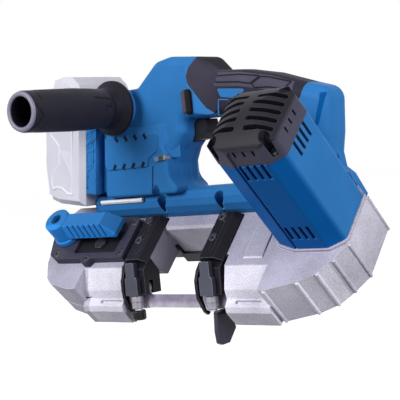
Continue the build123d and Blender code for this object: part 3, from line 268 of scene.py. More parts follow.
@dataclass(frozen=True)
class Zone:
    """Painted light and shade: a second colour past a plane.

    Args:
        colour: painted colour past the plane, lighter or darker as the light falls there.
        heading: direction across the plane.
        level: where the plane lies along that direction, in metres.
        width: how wide the change is, in metres.
    """

    colour: Display
    heading: Point
    level: float
    width: float


@dataclass(frozen=True)
class Finish:
    """One material: base colour, gloss and skin, with all colours as a display shows them.

    Args:
        name: name of the material.
        colour: base colour.
        rough: lowest and highest roughness, driven by the skin.
        metal: metallic share.
        skin: shared effect that gives tone and height.
        scale, depth: scale of the skin, per metre, and its depth in the bump, in metres.
        drift: how far the tone darkens and lightens the colour.
        edge, wear: colour of the painted highlight along edges, and how strongly it shows.
        radius: radius that edges are softened by, in metres.
        coat: clear coat weight.
        shine: specular level of the plain part.
        zones: painted light and shade, each a colour past a plane of its own.
        inlay: painted colour in the grooves that a mesh marks, if it has any: shade in sunk lines, highlight on ribs.
    """

    name: str
    colour: Display
    rough: Pair = (0.4, 0.5)
    metal: float = 0.0
    skin: Effect = Effect.GRAIN
    scale: float = 1600.0
    depth: float = 2e-5
    drift: float = 0.12
    edge: Display = (255, 255, 255)
    wear: float = 0.12
    radius: float = 0.0006
    coat: float = 0.0
    shine: float = 0.5
    zones: tuple[Zone, ...] = ()
    inlay: Display | None = None

    def zoned(self, tree: Tree) -> Socket:
        """Mix each zone's painted light and shade over the base colour past its plane, and the painted colour of marked
        lines where a groove is marked.
        """
        body = add_node(tree, "RGB").outputs["Color"]
        body.default_value = paint(self.colour)
        # Each zone paints light or shade over the base colour past its plane.
        for zone in self.zones:
            plane = dict(zip("XYZ", zone.heading), Level=zone.level, Width=zone.width)
            body = mix(tree, EffectShop.use(tree, Effect.ZONE, plane).outputs["Mask"], body, paint(zone.colour))
        # Painted shade in sunk lines, and painted highlight on ribs, where the mesh marks them.
        if self.inlay is None:
            return body
        return mix(tree, add_node(tree, "Attribute", attribute_name=GROOVE).outputs["Fac"], body, paint(self.inlay))

    def material(self) -> bpy.types.Material:
        """Give the material, built on its first use."""
        if self.name in MADE:
            return MADE[self.name]
        material = MADE[self.name] = bpy.data.materials.new(self.name)
        material.use_nodes = True
        tree = material.node_tree
        edge = EffectShop.use(tree, Effect.EDGE, {"Radius": self.radius}).outputs
        skin = EffectShop.use(tree, self.skin, {"Scale": self.scale}).outputs
        tone = add_node(tree, "MapRange", {"Value": skin["Tone"], "From Min": TONE_LOW, "From Max": TONE_HIGH,
                                           "To Min": 1.0 - self.drift, "To Max": 1.0 + self.drift})
        body = mix(tree, 1.0, self.zoned(tree), tone.outputs["Result"], "MULTIPLY")
        # Painted highlight: the edge colour mixed in where the rounded normal leaves the face's own.
        edge_lit = mix(tree, maths(tree, "MULTIPLY", edge["Mask"], self.wear), body, paint(self.edge))
        gloss = add_node(tree, "MapRange", {"Value": skin["Height"], "To Min": self.rough[0], "To Max": self.rough[1]})
        bump = add_node(tree, "Bump", {"Distance": self.depth, "Height": skin["Height"], "Normal": edge["Normal"]})
        feed(tree, tree.nodes["Principled BSDF"], {
            "Base Color": edge_lit, "Metallic": self.metal, "Roughness": gloss.outputs["Result"],
            "Normal": bump.outputs["Normal"], "Specular IOR Level": self.shine, "Coat Weight": self.coat})
        return material

    def dress(self, *names: str) -> None:
        """Give this finish to CAD nodes by name."""
        for name in names:
            slots = frame["nodes"][name].data.materials
            slots.clear()
            slots.append(self.material())
            LOG.info("dressed %s with %s", name, self.name)


TILT = math.sqrt(0.5)
TURN = np.array(((1.0, 0.0, 0.0), (0.0, TILT, TILT), (0.0, -TILT, TILT)))
UP_FRONT = (0.0, -TILT, TILT)
DOWN_FRONT = (0.0, -TILT, -TILT)
UP_BACK = (0.0, TILT, TILT)
UP_LEFT = (-0.6, 0.0, 0.8)
DOWN = (0.0, 0.0, -1.0)
LEFT = (-1.0, 0.0, 0.0)
RIGHT = (1.0, 0.0, 0.0)
# Each finish's edge colour is a painted highlight along its edges.
BLUE = Finish("blue_moulding", (43, 109, 171), (0.38, 0.5), scale=1400.0, depth=1.5e-5, drift=0.05,
              edge=(104, 168, 226), wear=0.5, radius=0.0009, shine=0.04)
# Painted shade: the motor's front face darker past its plane.
MOTOR_BLUE = replace(BLUE, name="motor_blue", zones=(Zone((8, 90, 164), DOWN_FRONT, -0.0425, 0.004),))
# Painted light: the lever's lower front side lighter past its plane.
LEVER_BLUE = replace(BLUE, name="lever_blue", zones=(Zone((44, 132, 214), DOWN_FRONT, -0.0475, 0.002),))
# Painted shade in the shoe's sunk lines and round its lower panel.
SHOE_BLUE = replace(BLUE, name="shoe_blue", inlay=(3, 52, 108))
# Painted shade of the groove on the rear arm.
ARM_GROOVE_SHADE = Finish("arm_groove_shade", (6, 78, 142), scale=1400.0, drift=0.05, edge=(60, 130, 200), shine=0.03)
BLACK = Finish("black_moulding", (32, 31, 44), (0.4, 0.52), scale=1500.0, drift=0.15,
               edge=(96, 95, 116), wear=0.35, shine=0.25)
COVER_BLACK = Finish("cover_black", (51, 50, 66), (0.42, 0.55), scale=1300.0, depth=3e-5, drift=0.15,
                     edge=(120, 118, 140), wear=0.35, shine=0.2)
# Painted shade: a near black plate on the floor of the cover's well, under the lever.
COVER_SHADE = replace(COVER_BLACK, name="cover_painted_shade", colour=(24, 23, 31))
# Painted shade: the crown of the cap darker past its plane.
CAP_BLACK = Finish("vent_cap_black", (62, 61, 79), (0.4, 0.52), scale=1500.0,
                   edge=(116, 114, 136), wear=0.4, shine=0.12, zones=(Zone((28, 27, 35), UP_FRONT, 0.1495, 0.003),))
SHADE = Finish("vent_shade", (8, 10, 18), (0.6, 0.7), scale=1400.0, depth=1e-5, drift=0.1, shine=0.02)
# Painted shade in the side panel's notches.
NOTCH_SHADE = Finish("notch_shade", (4, 30, 66), (0.5, 0.6), scale=1400.0, depth=1e-5, drift=0.1, shine=0.05)
# Painted light on the grip's upper left, and painted shade along its top.
RUBBER = Finish("grip_rubber", (40, 38, 50), (0.5, 0.62), scale=1800.0, depth=4e-5, drift=0.14,
                edge=(92, 90, 112), wear=0.3, radius=0.0009, shine=0.06,
                zones=(Zone((54, 52, 66), UP_LEFT, 0.107, 0.03), Zone((26, 24, 32), UP_BACK, 0.168, 0.008)))
# Painted shade in the sunk lines round the knurled fields.
GRIP_SKIN = Finish("grip_skin", (72, 69, 86), (0.48, 0.62), scale=1500.0, depth=6e-5,
                   edge=(104, 102, 122), wear=0.3, radius=0.0004, shine=0.06, inlay=(22, 20, 30))
HANDLE = Finish("handle_moulding", (20, 19, 29), (0.52, 0.66), depth=3e-5, drift=0.14,
                edge=(84, 82, 104), wear=0.3, radius=0.0009, shine=0.12)
# Painted light and shade: the lock button lit on its left and dark on its right.
LOCK_BLACK = replace(HANDLE, name="lock_black", colour=(9, 8, 13),
                     zones=(Zone((70, 66, 80), LEFT, -0.0208, 0.0004),))
# Painted shade in the sleeve's sunk lines.
SLEEVE = Finish("sleeve_rubber", (33, 32, 42), (0.46, 0.6), scale=1700.0, depth=5e-5,
                edge=(80, 78, 94), wear=0.3, radius=0.0004, shine=0.12, inlay=(9, 8, 13))
# Painted highlight: the end ring of the tube pale where its rim catches the light.
TUBE_END = Finish("tube_end_highlight", (112, 106, 128), (0.4, 0.52), scale=1500.0, drift=0.06, edge=(150, 146, 166))
TYRE = Finish("tyre_rubber", (28, 28, 30), (0.6, 0.75), scale=2200.0, depth=4e-5)
# Painted light and shade on the casting: a bright nose low in front, darker at the far left and on the front face.
CAST = Finish("cast_alloy", (184, 181, 196), (0.45, 0.62), skin=Effect.SPECKLE, scale=800.0, depth=0.0003,
              drift=0.35, edge=(244, 242, 250), wear=0.8, radius=0.0013, shine=0.2,
              zones=(Zone((186, 183, 198), LEFT, 0.02, 0.001), Zone((212, 209, 224), DOWN_FRONT, -0.0188, 0.0004),
                     Zone((176, 173, 189), LEFT, 0.0985, 0.001), Zone((160, 158, 177), UP_FRONT, 0.0275, 0.0003)))
# Painted highlight on the strip's lip, and painted shade along its left edge.
CAST_HIGHLIGHT = replace(CAST, name="cast_highlight", colour=(226, 223, 238), zones=())
CAST_SHADE = replace(CAST, name="cast_shade_line", colour=(112, 110, 126), zones=())
ALLOY = Finish("machined_alloy", (186, 187, 192), (0.28, 0.42), metal=0.9, skin=Effect.SPECKLE)
FERRITE = Finish("magnet_ferrite", (58, 58, 62), (0.5, 0.65), metal=0.2, skin=Effect.SPECKLE, scale=1500.0)
BLACK_STEEL = Finish("blackened_steel", (20, 19, 27), (0.32, 0.46), metal=0.05, scale=1300.0, drift=0.2,
                     edge=(150, 148, 166), wear=0.6, radius=0.0009, shine=0.15)
GRAPHITE = Finish("graphite_steel", (62, 63, 78), (0.32, 0.45), metal=0.4, scale=1300.0, drift=0.15,
                  edge=(190, 190, 204), wear=0.6, radius=0.0008)
GLOSS_BLACK = Finish("gloss_black", (14, 13, 19), (0.2, 0.3), scale=900.0, depth=1e-5, drift=0.2,
                     edge=(170, 168, 184), wear=0.5, radius=0.0008, shine=0.25)
DARK_SCREW = Finish("dark_screw", (58, 57, 68), (0.25, 0.4), metal=0.4, scale=2500.0, depth=1e-5, drift=0.2,
                    edge=(180, 180, 192), wear=0.6, radius=0.0005)
STEEL = Finish("turned_steel", (196, 196, 202), (0.2, 0.34), metal=1.0, skin=Effect.BRUSH, scale=3000.0,
               depth=1e-5, edge=(230, 230, 235), wear=0.4, radius=0.0003)
ROLLER = replace(STEEL, name="roller_steel", colour=(150, 148, 158), rough=(0.34, 0.46), metal=0.45, drift=0.2,
                 edge=(210, 209, 218), shine=0.2)
# Painted light: the band turns lighter low down, below about 1 mm up.
BAND_STEEL = Finish("band_steel", (140, 132, 156), (0.5, 0.62), skin=Effect.BRUSH, scale=2600.0, depth=1e-5,
                    drift=0.22, edge=(205, 200, 214), wear=0.15, radius=0.0002, shine=0.05,
                    zones=(Zone((176, 169, 184), DOWN, -0.001, 0.004),))
# Painted reflection: near white with little metal, for the bright sheen of the hex key.
KEY_SHEEN = Finish("bright_steel", (240, 240, 246), (0.24, 0.34), metal=0.2, skin=Effect.BRUSH, scale=3000.0,
                depth=5e-6, drift=0.04)
BRASS = Finish("contact_brass", (205, 172, 98), (0.25, 0.4), metal=1.0, skin=Effect.BRUSH, scale=2500.0,
               depth=1e-5, drift=0.15)
COPPER = Finish("winding_copper", (188, 112, 70), (0.3, 0.45), metal=0.9, skin=Effect.BRUSH, scale=1800.0,
                depth=4e-5, drift=0.2)
PALE = Finish("pale_moulding", (194, 194, 205), (0.42, 0.55), scale=1500.0, drift=0.04,
              edge=(238, 238, 246), wear=0.5, radius=0.0009)
# Painted highlight on the ribs of the battery's side panel.
PALE_PANEL = replace(PALE, name="pale_panel", inlay=(208, 206, 224))
PALE_GREY = Finish("pale_latch", (186, 185, 198), (0.45, 0.56), drift=0.05)
BOARD = Finish("board_green", (28, 92, 58), (0.35, 0.5), scale=700.0, depth=4e-5, drift=0.25)
# Painted shade and highlight on the lens: dark in its middle, pale at its right end.
LENS = Finish("lamp_lens", (84, 118, 156), (0.1, 0.2), metal=0.1, scale=500.0, depth=3e-5, drift=0.1, coat=0.3,
              zones=(Zone((22, 22, 28), RIGHT, -0.0152, 0.0004), Zone((140, 136, 140), RIGHT, -0.0092, 0.0004)))


def unit(way: Array) -> Array:
    """Direction of length one."""
    return way / np.linalg.norm(way)


def set_up(data: bpy.types.ID, right: Array, up: Array, place: Array) -> Piece:
    """Set up a camera or a lamp at a place, turned to the right and up directions given."""
    turn = np.eye(4)
    turn[:3] = np.stack([right, up, np.cross(right, up), place], -1)
    piece = bpy.data.objects.new(data.name, data)
    piece.matrix_world = Matrix(turn.tolist())
    bpy.context.scene.collection.objects.link(piece)
    return piece


@dataclass(frozen=True)
class Lamp:
    """Square soft panel that faces a point.

    Args:
        name: name of the lamp.
        place: where the panel hangs, in metres.
        size, power: side of the panel, and its power in watts.
        target: point that it faces.
        mirrored: whether gloss shows the panel.
    """

    name: str
    place: Point
    size: float
    power: float
    target: Point = (0.0, 0.0, 0.1)
    mirrored: bool = True

    def hang(self) -> None:
        """Turn the panel to its target and hang it."""
        back = unit(np.array(self.place) - np.array(self.target))
        right = unit(np.cross((0.0, 0.0, 1.0), back))
        panel = bpy.data.lights.new(self.name, "AREA")
        panel.size = self.size
        panel.energy = self.power
        set_up(panel, right, np.cross(back, right), np.array(self.place)).visible_glossy = self.mirrored


@dataclass
class Studio:
    """Camera of the photograph, soft lamps and a pale floor.

    Args:
        eye: place of the camera, in millimetres.
        right, up: directions to the right and to the top of the picture.
        lens: focal length on the usual sensor, in millimetres.
        floor_reach, floor_gap: half side of the floor and its gap under the saw, in millimetres.
        floor_colour, floor_rough: colour and roughness of the floor for the light that it throws back.
        floor_glow: strength of its white where it is seen.
        sky: strength of the even light from all round.
        lamps: soft panels.
    """

    eye: Point = (666.3, -772.6, 126.8)
    right: Point = (0.7757, 0.6235, -0.0975)
    up: Point = (0.0529, 0.0898, 0.9946)
    lens: float = 101.34
    floor_reach: float = 6000.0
    floor_gap: float = 0.5
    floor_colour: Colour = (0.16, 0.16, 0.165, 1.0)
    floor_rough: float = 0.9
    floor_glow: float = 0.97
    sky: float = 0.13
    lamps: tuple[Lamp, ...] = (
        Lamp("key_panel", (-0.5, -1.57, 0.85), size=0.9, power=36.0),
        Lamp("side_panel", (1.75, -0.3, 0.6), size=1.0, power=30.0, target=(0.05, 0.0, 0.1)),
        Lamp("back_panel", (-0.2, 1.9, 0.6), size=1.0, power=24.0, mirrored=False),
        Lamp("top_panel", (-0.3, -0.1, 1.7), size=1.2, power=1.5))

    def build(self) -> None:
        """Set the camera, the floor, the world and the lamps."""
        self.camera()
        self.floor()
        self.world()
        for lamp in self.lamps:
            lamp.hang()

    def camera(self) -> None:
        """Place the camera by its eye point and its right and up directions."""
        right, up = unit(np.array(self.right)), np.array(self.up)
        up = unit(up - right * float(up @ right))
        lens = bpy.data.cameras.new("photo_camera")
        lens.lens = self.lens
        bpy.context.scene.camera = set_up(lens, right, up, np.array(self.eye) * MM)

    def floor(self) -> None:
        """Lay a pale floor just under the lowest point of the saw."""
        low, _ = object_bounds()
        reach, level = self.floor_reach, low[2] / MM - self.floor_gap
        rim = np.array([(x * reach, y * reach, level) for x, y in ((-1, -1), (1, -1), (1, 1), (-1, 1))])
        floor = add_mesh("studio_floor", rim, np.array([(0, 1, 2, 3)]), smooth=False)
        material = bpy.data.materials.new("studio_floor")
        material.use_nodes = True
        tree = material.node_tree
        feed(tree, tree.nodes["Principled BSDF"], {
            "Base Color": self.floor_colour, "Roughness": self.floor_rough, "Specular IOR Level": 0.0,
            "Emission Color": WHITE, "Emission Strength": self.seen(tree, self.floor_glow)})
        floor.data.materials.append(material)
        floor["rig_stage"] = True

    @staticmethod
    def seen(tree: Tree, strength: float) -> Socket:
        """Strength for rays from the camera, in gloss and through glass, and none for the rest."""
        rays = add_node(tree, "LightPath").outputs
        mirrored = maths(tree, "MAXIMUM", rays["Is Glossy Ray"], rays["Is Transmission Ray"])
        return maths(tree, "MULTIPLY", maths(tree, "MAXIMUM", rays["Is Camera Ray"], mirrored), strength)

    def world(self) -> None:
        """White where it is seen, and a plain soft light everywhere else."""
        world = bpy.data.worlds.new("studio_world")
        world.use_nodes = True
        tree = world.node_tree
        strength = maths(tree, "ADD", self.seen(tree, 1.0 - self.sky), self.sky)
        feed(tree, tree.nodes["Background"], {"Color": WHITE, "Strength": strength})
        bpy.context.scene.world = world


def add_mesh(name: str, points: Array, faces: Array, smooth: bool = True) -> Piece:
    """Make one mesh from points in millimetres and quads.

    Args:
        name: name of the piece.
        points: one row of three for each point.
        faces: one row of four point numbers for each quad, in outward order.
        smooth: whether faces are shaded as one rounded skin.

    Returns:
        The new object at the origin, its place in its mesh.
    """
    mesh = bpy.data.meshes.new(name)
    mesh.from_pydata((points * MM).tolist(), [], faces.tolist())
    mesh.polygons.foreach_set("use_smooth", np.full(len(faces), smooth))
    mesh.update()
    piece = bpy.data.objects.new(name, mesh)
    bpy.context.scene.collection.objects.link(piece)
    return piece


def closed_shell(name: str, top: Array, under: Array) -> Piece:
    """Join two grids of one shape into a closed shell.

    The top keeps its order, the under side is turned round, and one row of quads walls each border.

    Args:
        name: name of the piece.
        top: points of the seen side, rows by columns by three.
        under: points of the hidden side in the same order.

    Returns:
        The new object.
    """
    rows, columns = top.shape[:2]
    count = rows * columns
    index = np.arange(count).reshape(rows, columns)
    seen = np.stack([index[:-1, :-1], index[:-1, 1:], index[1:, 1:], index[1:, :-1]], -1).reshape(-1, 4)
    rim = np.concatenate([index[0, :-1], index[:-1, -1], index[-1, :0:-1], index[:0:-1, 0]])
    after = np.roll(rim, -1)
    wall = np.stack([after, rim, rim + count, after + count], -1)
    points = np.concatenate([top.reshape(-1, 3), under.reshape(-1, 3)])
    return add_mesh(name, points, np.concatenate([seen, seen[:, ::-1] + count, wall]))


def wrapped_grid(name: str, points: Array) -> Piece:
    """Close a grid on itself in both directions, as a hoop is.

    Args:
        name: name of the piece.
        points: rows by columns by three, where columns by rows point outwards.

    Returns:
        The new object.
    """
    rows, columns = points.shape[:2]
    index = np.arange(rows * columns).reshape(rows, columns)
    right, below = np.roll(index, -1, 1), np.roll(index, -1, 0)
    faces = np.stack([index, right, np.roll(right, -1, 0), below], -1).reshape(-1, 4)
    return add_mesh(name, points.reshape(-1, 3), faces)


def slabs(name: str, centres: Array, halves: Array) -> Piece:
    """Set out closed slabs in one mesh.

    Each corner is the centre plus or minus the three half sides, which follow the right-hand rule.

    Args:
        name: name of the piece.
        centres: one row of three for each slab.
        halves: three half sides as rows, for each slab.

    Returns:
        The new object.
    """
    signs = np.array([(x, y, z) for z in (-1, 1) for y in (-1, 1) for x in (-1, 1)])
    sides = np.array([(0, 2, 3, 1), (4, 5, 7, 6), (0, 1, 5, 4), (2, 6, 7, 3), (0, 4, 6, 2), (1, 3, 7, 5)])
    points = centres[:, None, :] + signs @ halves
    faces = sides[None] + len(signs) * np.arange(len(centres))[:, None, None]
    return add_mesh(name, points.reshape(-1, 3), faces.reshape(-1, 4), smooth=False)


def ramp(value: Array, low: float, high: float) -> Array:
    """Smooth step from nought at low to one at high: 3t2 - 2t3 of the clamped share."""
    share = np.clip((value - low) / (high - low), 0.0, 1.0)
    return share * share * (3.0 - 2.0 * share)


def fade(value: Array, low: float, high: float) -> Array:
    """Smooth step the other way, from one at low to nought at high."""
    return 1.0 - ramp(value, low, high)


def away(a: Array, b: Array, path: Path) -> Array:
    """Distance from each grid point to the nearest run of a path.

    Args:
        a, b: coordinates of the grid.
        path: corners of the path in the same coordinates.

    Returns:
        The distance, in the shape of the grid.
    """
    nearest = np.full(a.shape, np.inf)
    for (a0, b0), (a1, b1) in zip(path[:-1], path[1:]):
        along = ((a - a0) * (a1 - a0) + (b - b0) * (b1 - b0)) / ((a1 - a0) ** 2 + (b1 - b0) ** 2)
        along = np.clip(along, 0.0, 1.0)
        nearest = np.minimum(nearest, np.hypot(a - a0 - along * (a1 - a0), b - b0 - along * (b1 - b0)))
    return nearest


def depth_in(a: Array, b: Array, outline: Path) -> Array:
    """Depth of each grid point inside an outline, less than nought outside.

    A point is inside where a line to its right crosses the outline an odd number of times.

    Args:
        a, b: coordinates of the grid.
        outline: corners of the closed outline.

    Returns:
        The signed distance to the outline.
    """
    path = outline + outline[:1]
    inside = np.zeros(a.shape, bool)
    for (a0, b0), (a1, b1) in zip(path[:-1], path[1:]):
        if b0 != b1:
            inside ^= ((b0 > b) != (b1 > b)) & (a < a0 + (b - b0) * (a1 - a0) / (b1 - b0))
    return np.where(inside, 1.0, -1.0) * away(a, b, path)


def settle(piece: Piece, finish: Finish, carrier: str) -> None:
    """Give a new piece its finish and let it ride with the CAD node that carries it."""
    piece.data.materials.append(finish.material())
    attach(piece, frame["nodes"][carrier]["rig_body"])
    LOG.info("made %s on %s, %d faces", piece.name, carrier, len(piece.data.polygons))


def mark(piece: Piece, shares: Array) -> None:
    """Write the share of groove at each seen point of a piece, and none at its hidden points."""
    marks = piece.data.attributes.new(GROOVE, "FLOAT", "POINT")
    marks.data.foreach_set("value", np.concatenate([shares.ravel(), np.zeros(shares.size)]))


def handle_side(over: Array) -> Array:
    """Place of the handle's side across the saw, that far past the start of its rounded edge."""
    return HANDLE_SIDE + HANDLE_ROUND - np.sqrt(HANDLE_ROUND ** 2 - over ** 2)


@dataclass
class Fitting:
    """Piece of the scene on a CAD node.

    Args:
        name: name of the piece.
        carrier: CAD node that it sits on.
        finish: its finish.
    """

    name: str
    carrier: str
    finish: Finish


@dataclass
class HeightSheet(Fitting):
    """Moulded relief on one face: a height over that face, worked out on a grid and closed below it.

    Args:
        reach: lowest and highest value of both face coordinates.
        grid: rows and columns.
        sink: how far the hidden side lies under the face.
        foot: height of the sheet's border, under the face.
        stand: rise of the plain skin over its border.
    """

    reach: Reach
    grid: Grid
    sink: float = 0.8
    foot: float = -0.3
    stand: float = 0.75

    def base(self, a: Array, b: Array, height: Array) -> Array:
        """Point over the face at its coordinates a and b and at that height."""
        raise NotImplementedError

    def height(self, a: Array, b: Array) -> Array:
        """Height of the relief over the face."""
        raise NotImplementedError

    def groove(self, a: Array, b: Array) -> Array:
        """Share of groove at each point, nought where a sheet has none."""
        return np.zeros(a.shape)

    def rim(self, a: Array, b: Array) -> Array:
        """Distance of each point from the border of the sheet."""
        low_a, high_a, low_b, high_b = self.reach
        return np.minimum(np.minimum(a - low_a, high_a - a), np.minimum(b - low_b, high_b - b))

    def build(self) -> None:
        """Carry the grid onto the face, close it and mark its grooves."""
        low_a, high_a, low_b, high_b = self.reach
        a, b = np.meshgrid(np.linspace(low_a, high_a, self.grid[1]), np.linspace(low_b, high_b, self.grid[0]))
        top = self.base(a, b, self.height(a, b))
        piece = closed_shell(self.name, top, self.base(a, b, np.full(a.shape, -self.sink)))
        mark(piece, self.groove(a, b))
        settle(piece, self.finish, self.carrier)


@dataclass
class GripSkin(HeightSheet):
    """Side skin of the handle: two knurled fields inside sunk outlines, on the rounded side of the grip.

    Args:
        crest_x, crest_z: crest of the handle, along the blade and upwards.
        fields: outlines of both fields, along the blade and up from the crest.
        line_out, line_depth: how far the sunk line lies outside its field, and its depth.
        ridge, ridge_turn: height of the crossed ridges, and their radians for each millimetre.
    """

    name: str = "grip_side_skin"
    carrier: str = "grip_overmould"
    finish: Finish = GRIP_SKIN
    reach: Reach = (47.0, 131.0, -15.6, -2.0)
    grid: Grid = (64, 340)
    crest_x: Row = (40.0, 75.0, 106.0, 142.0)
    crest_z: Row = (205.4, 201.8, 195.0, 182.6)
    fields: tuple[Path, ...] = (((50.5, -6.0), (49.2, -9.9), (51.2, -10.8), (87.6, -10.9), (95.6, -4.2)),
                                ((98.8, -4.6), (90.0, -11.6), (92.2, -14.2), (122.8, -9.6), (127.4, -3.4)))
    line_out: float = 0.5
    line_depth: float = 0.42
    ridge: float = 0.3
    ridge_turn: float = 1.5

    def base(self, a: Array, b: Array, height: Array) -> Array:
        """Crest line plus b upwards, and a quarter round of the handle where b is near the crest."""
        crest = np.interp(a, self.crest_x, self.crest_z)
        side = handle_side(np.maximum(HANDLE_ROUND + b, 0.0))
        return np.stack([a, side - height, crest + b], -1)

    def height(self, a: Array, b: Array) -> Array:
        """Even skin that dips at its border, sunk lines round the fields, and crossed ridges inside them."""
        height = self.foot + self.stand * ramp(self.rim(a, b), 0.0, 0.9)
        knurl = np.abs(np.sin(self.ridge_turn * (a + b))) * np.abs(np.sin(self.ridge_turn * (a - b)))
        for outline in self.fields:
            deep = depth_in(a, b, outline)
            height -= self.line_depth * fade(np.abs(deep + self.line_out), 0.25, 0.75)
            height += self.ridge * ramp(deep, 0.3, 1.0) * knurl
        return height

    def groove(self, a: Array, b: Array) -> Array:
        """One on the sunk line round each field, fading to nought beside it."""
        lines = [fade(np.abs(depth_in(a, b, outline) + self.line_out), 0.35, 0.95) for outline in self.fields]
        return np.max(lines, axis=0)


@dataclass
class LeaningSheet(HeightSheet):
    """Relief on a flat side that leans with the pack.

    Args:
        middle: middle of the pack along the blade and upwards.
        lean: lean of the pack in degrees.
        front_y: place of the flat side across the saw.
    """

    middle: Pair = (-104.0, 150.0)
    lean: float = 8.0
    front_y: float = 7.0

    def base(self, a: Array, b: Array, height: Array) -> Array:
        """Flat side turned by the lean about the middle of the pack."""
        turn = math.radians(self.lean)
        x = self.middle[0] + a * math.cos(turn) + b * math.sin(turn)
        z = self.middle[1] - a * math.sin(turn) + b * math.cos(turn)
        return np.stack([x, self.front_y - height, z], -1)


@dataclass
class BatteryFace(LeaningSheet):
    """Raised panel on the side of the pack, with a rib along its outline and slanted ribs across it.

    Args:
        panel: outline of the panel.
        rib, slant_rib: height of the rib along the outline, and of the slanted ones.
        slant_first, slant_step: upper end of the first slanted rib, and the way to the next.
        slant_count, slant_right, slant_fall: how many there are, where they end and how steeply they fall.
    """

    name: str = "battery_side_panel"
    carrier: str = "battery_pack"
    finish: Finish = PALE_PANEL
    reach: Reach = (-46.0, -6.0, -51.0, 40.0)
    grid: Grid = (260, 120)
    panel: Path = ((-44.6, 38.0), (-44.6, 11.8), (-43.8, 7.2), (-33.0, -2.5), (-33.0, -20.5), (-43.2, -30.9),
                   (-42.8, -41.4), (-40.0, -46.8), (-34.8, -44.3), (-28.0, -44.7), (-20.0, -49.4), (-12.6, -49.4),
                   (-12.6, 38.0))
    rib: float = 0.45
    slant_rib: float = 0.3
    slant_count: int = 6
    slant_first: Pair = (-31.0, -5.5)
    slant_step: Pair = (3.2, -0.6)
    slant_right: float = -14.6
    slant_fall: float = 1.47

    def slants(self, a: Array, b: Array, deep: Array) -> Array:
        """Share of the slanted ribs, inside the rib of the outline."""
        share = np.zeros(a.shape)
        for index in range(self.slant_count):
            left, top = np.array(self.slant_first) + index * np.array(self.slant_step)
            low = top - self.slant_fall * (self.slant_right - left)
            share = np.maximum(share, fade(away(a, b, ((left, top), (self.slant_right, low))), 0.2, 0.8))
        return share * ramp(deep, 1.5, 2.5)

    def height(self, a: Array, b: Array) -> Array:
        """Panel height, a rib along its outline, and the slanted ribs inside it."""
        deep = depth_in(a, b, self.panel)
        height = self.foot + self.stand * ramp(deep, -0.5, 0.5)
        height += self.rib * fade(np.abs(deep - 1.0), 0.3, 1.1)
        return height + self.slant_rib * self.slants(a, b, deep)

    def groove(self, a: Array, b: Array) -> Array:
        """Share of painted highlight on the ribs: full on the outline, less on the slants."""
        deep = depth_in(a, b, self.panel)
        return np.maximum(fade(np.abs(deep - 1.2), 0.8, 1.8), FAINT * self.slants(a, b, deep))


@dataclass
class ShoeFace(LeaningSheet):
    """Skin on the side of the shoe: a sunk frame line, slanted cells and a sunk lower panel.

    Args:
        border: frame line.
        cell_right: line that the cells end at.
        cell_ends, cells, rise: both ends of the lines between cells, their left heights and their rise.
        window: outline of the lower panel.
        line_depth, window_depth: depth of all lines, and of the lower panel.
    """

    name: str = "shoe_side_panel"
    carrier: str = "battery_shoe"
    finish: Finish = SHOE_BLUE
    reach: Reach = (0.6, 12.6, -46.4, 47.4)
    grid: Grid = (300, 60)
    front_y: float = 12.2
    border: Path = ((10.2, 46.0), (10.4, -19.5), (2.6, -27.0), (2.4, -41.0), (1.2, -45.0))
    cell_right: Path = ((8.0, 0.0), (8.0, 44.0))
    cell_ends: Pair = (0.8, 8.0)
    cells: Row = (-5.7, -0.9, 4.6, 9.3, 14.2, 19.0, 23.8, 28.6)
    rise: float = 5.6
    window: Path = ((1.6, -8.0), (7.4, -5.6), (7.4, -18.6), (1.9, -21.4))
    line_depth: float = 0.5
    window_depth: float = 0.25

    def groove(self, a: Array, b: Array) -> Array:
        """Distance to the frame line, the cells' slants and their right side, faded to a narrow line."""
        left, right = self.cell_ends
        slants = [((left, start), (right, start + self.rise)) for start in self.cells]
        nearest = np.min([away(a, b, path) for path in (self.border, self.cell_right, *slants)], axis=0)
        window = np.abs(depth_in(a, b, self.window))
        return np.maximum(fade(nearest, 0.45, 1.1), FAINT * fade(window, 0.1, 0.6))

    def height(self, a: Array, b: Array) -> Array:
        """Even skin that dips at its border, less the grooves and the lower panel."""
        height = self.foot + self.stand * ramp(self.rim(a, b), 0.0, 0.8) - self.line_depth * self.groove(a, b)
        return height - self.window_depth * ramp(depth_in(a, b, self.window), 0.0, 0.5)


@dataclass
class ArmStripe(HeightSheet):
    """Dark slanted stripe of painted shade, for a groove on the rounded back edge of the handle's rear arm.

    Args:
        edge_x, edge_z: foot and head of the arm's back edge, along the blade and upwards.
        inset: how far the stripe's foot lies in front of that edge.
        slant, wide: how far the stripe leans to the edge, and its width.
    """

    name: str = "rear_arm_groove_shade"
    carrier: str = "body_shell_left"
    finish: Finish = ARM_GROOVE_SHADE
    reach: Reach = (0.0, 1.0, 145.0, 172.0)
    grid: Grid = (60, 16)
    foot: float = -0.15
    stand: float = 0.3
    edge_x: Pair = (161.5, 164.5)
    edge_z: Pair = (138.0, 175.5)
    inset: float = 12.5
    slant: float = 6.0
    wide: float = 4.2

    def base(self, a: Array, b: Array, height: Array) -> Array:
        """Share a across the stripe, level b: the stripe slants from the edge and follows the quarter round."""
        edge = np.interp(b, self.edge_z, self.edge_x)
        share = (b - self.reach[2]) / (self.reach[3] - self.reach[2])
        x = edge - self.inset + self.slant * share + self.wide * a
        over = np.maximum(x - edge + HANDLE_ROUND, 0.0)
        lean = over / HANDLE_ROUND
        return np.stack([x + height * lean, handle_side(over) - height * np.sqrt(1.0 - lean ** 2), b], -1)

    def height(self, a: Array, b: Array) -> Array:
        """Thin skin with soft borders."""
        across = np.minimum(a, 1.0 - a)
        along = np.minimum(b - self.reach[2], self.reach[3] - b)
        return self.foot + self.stand * ramp(across, 0.0, 0.08) * ramp(along, 0.0, 0.6)


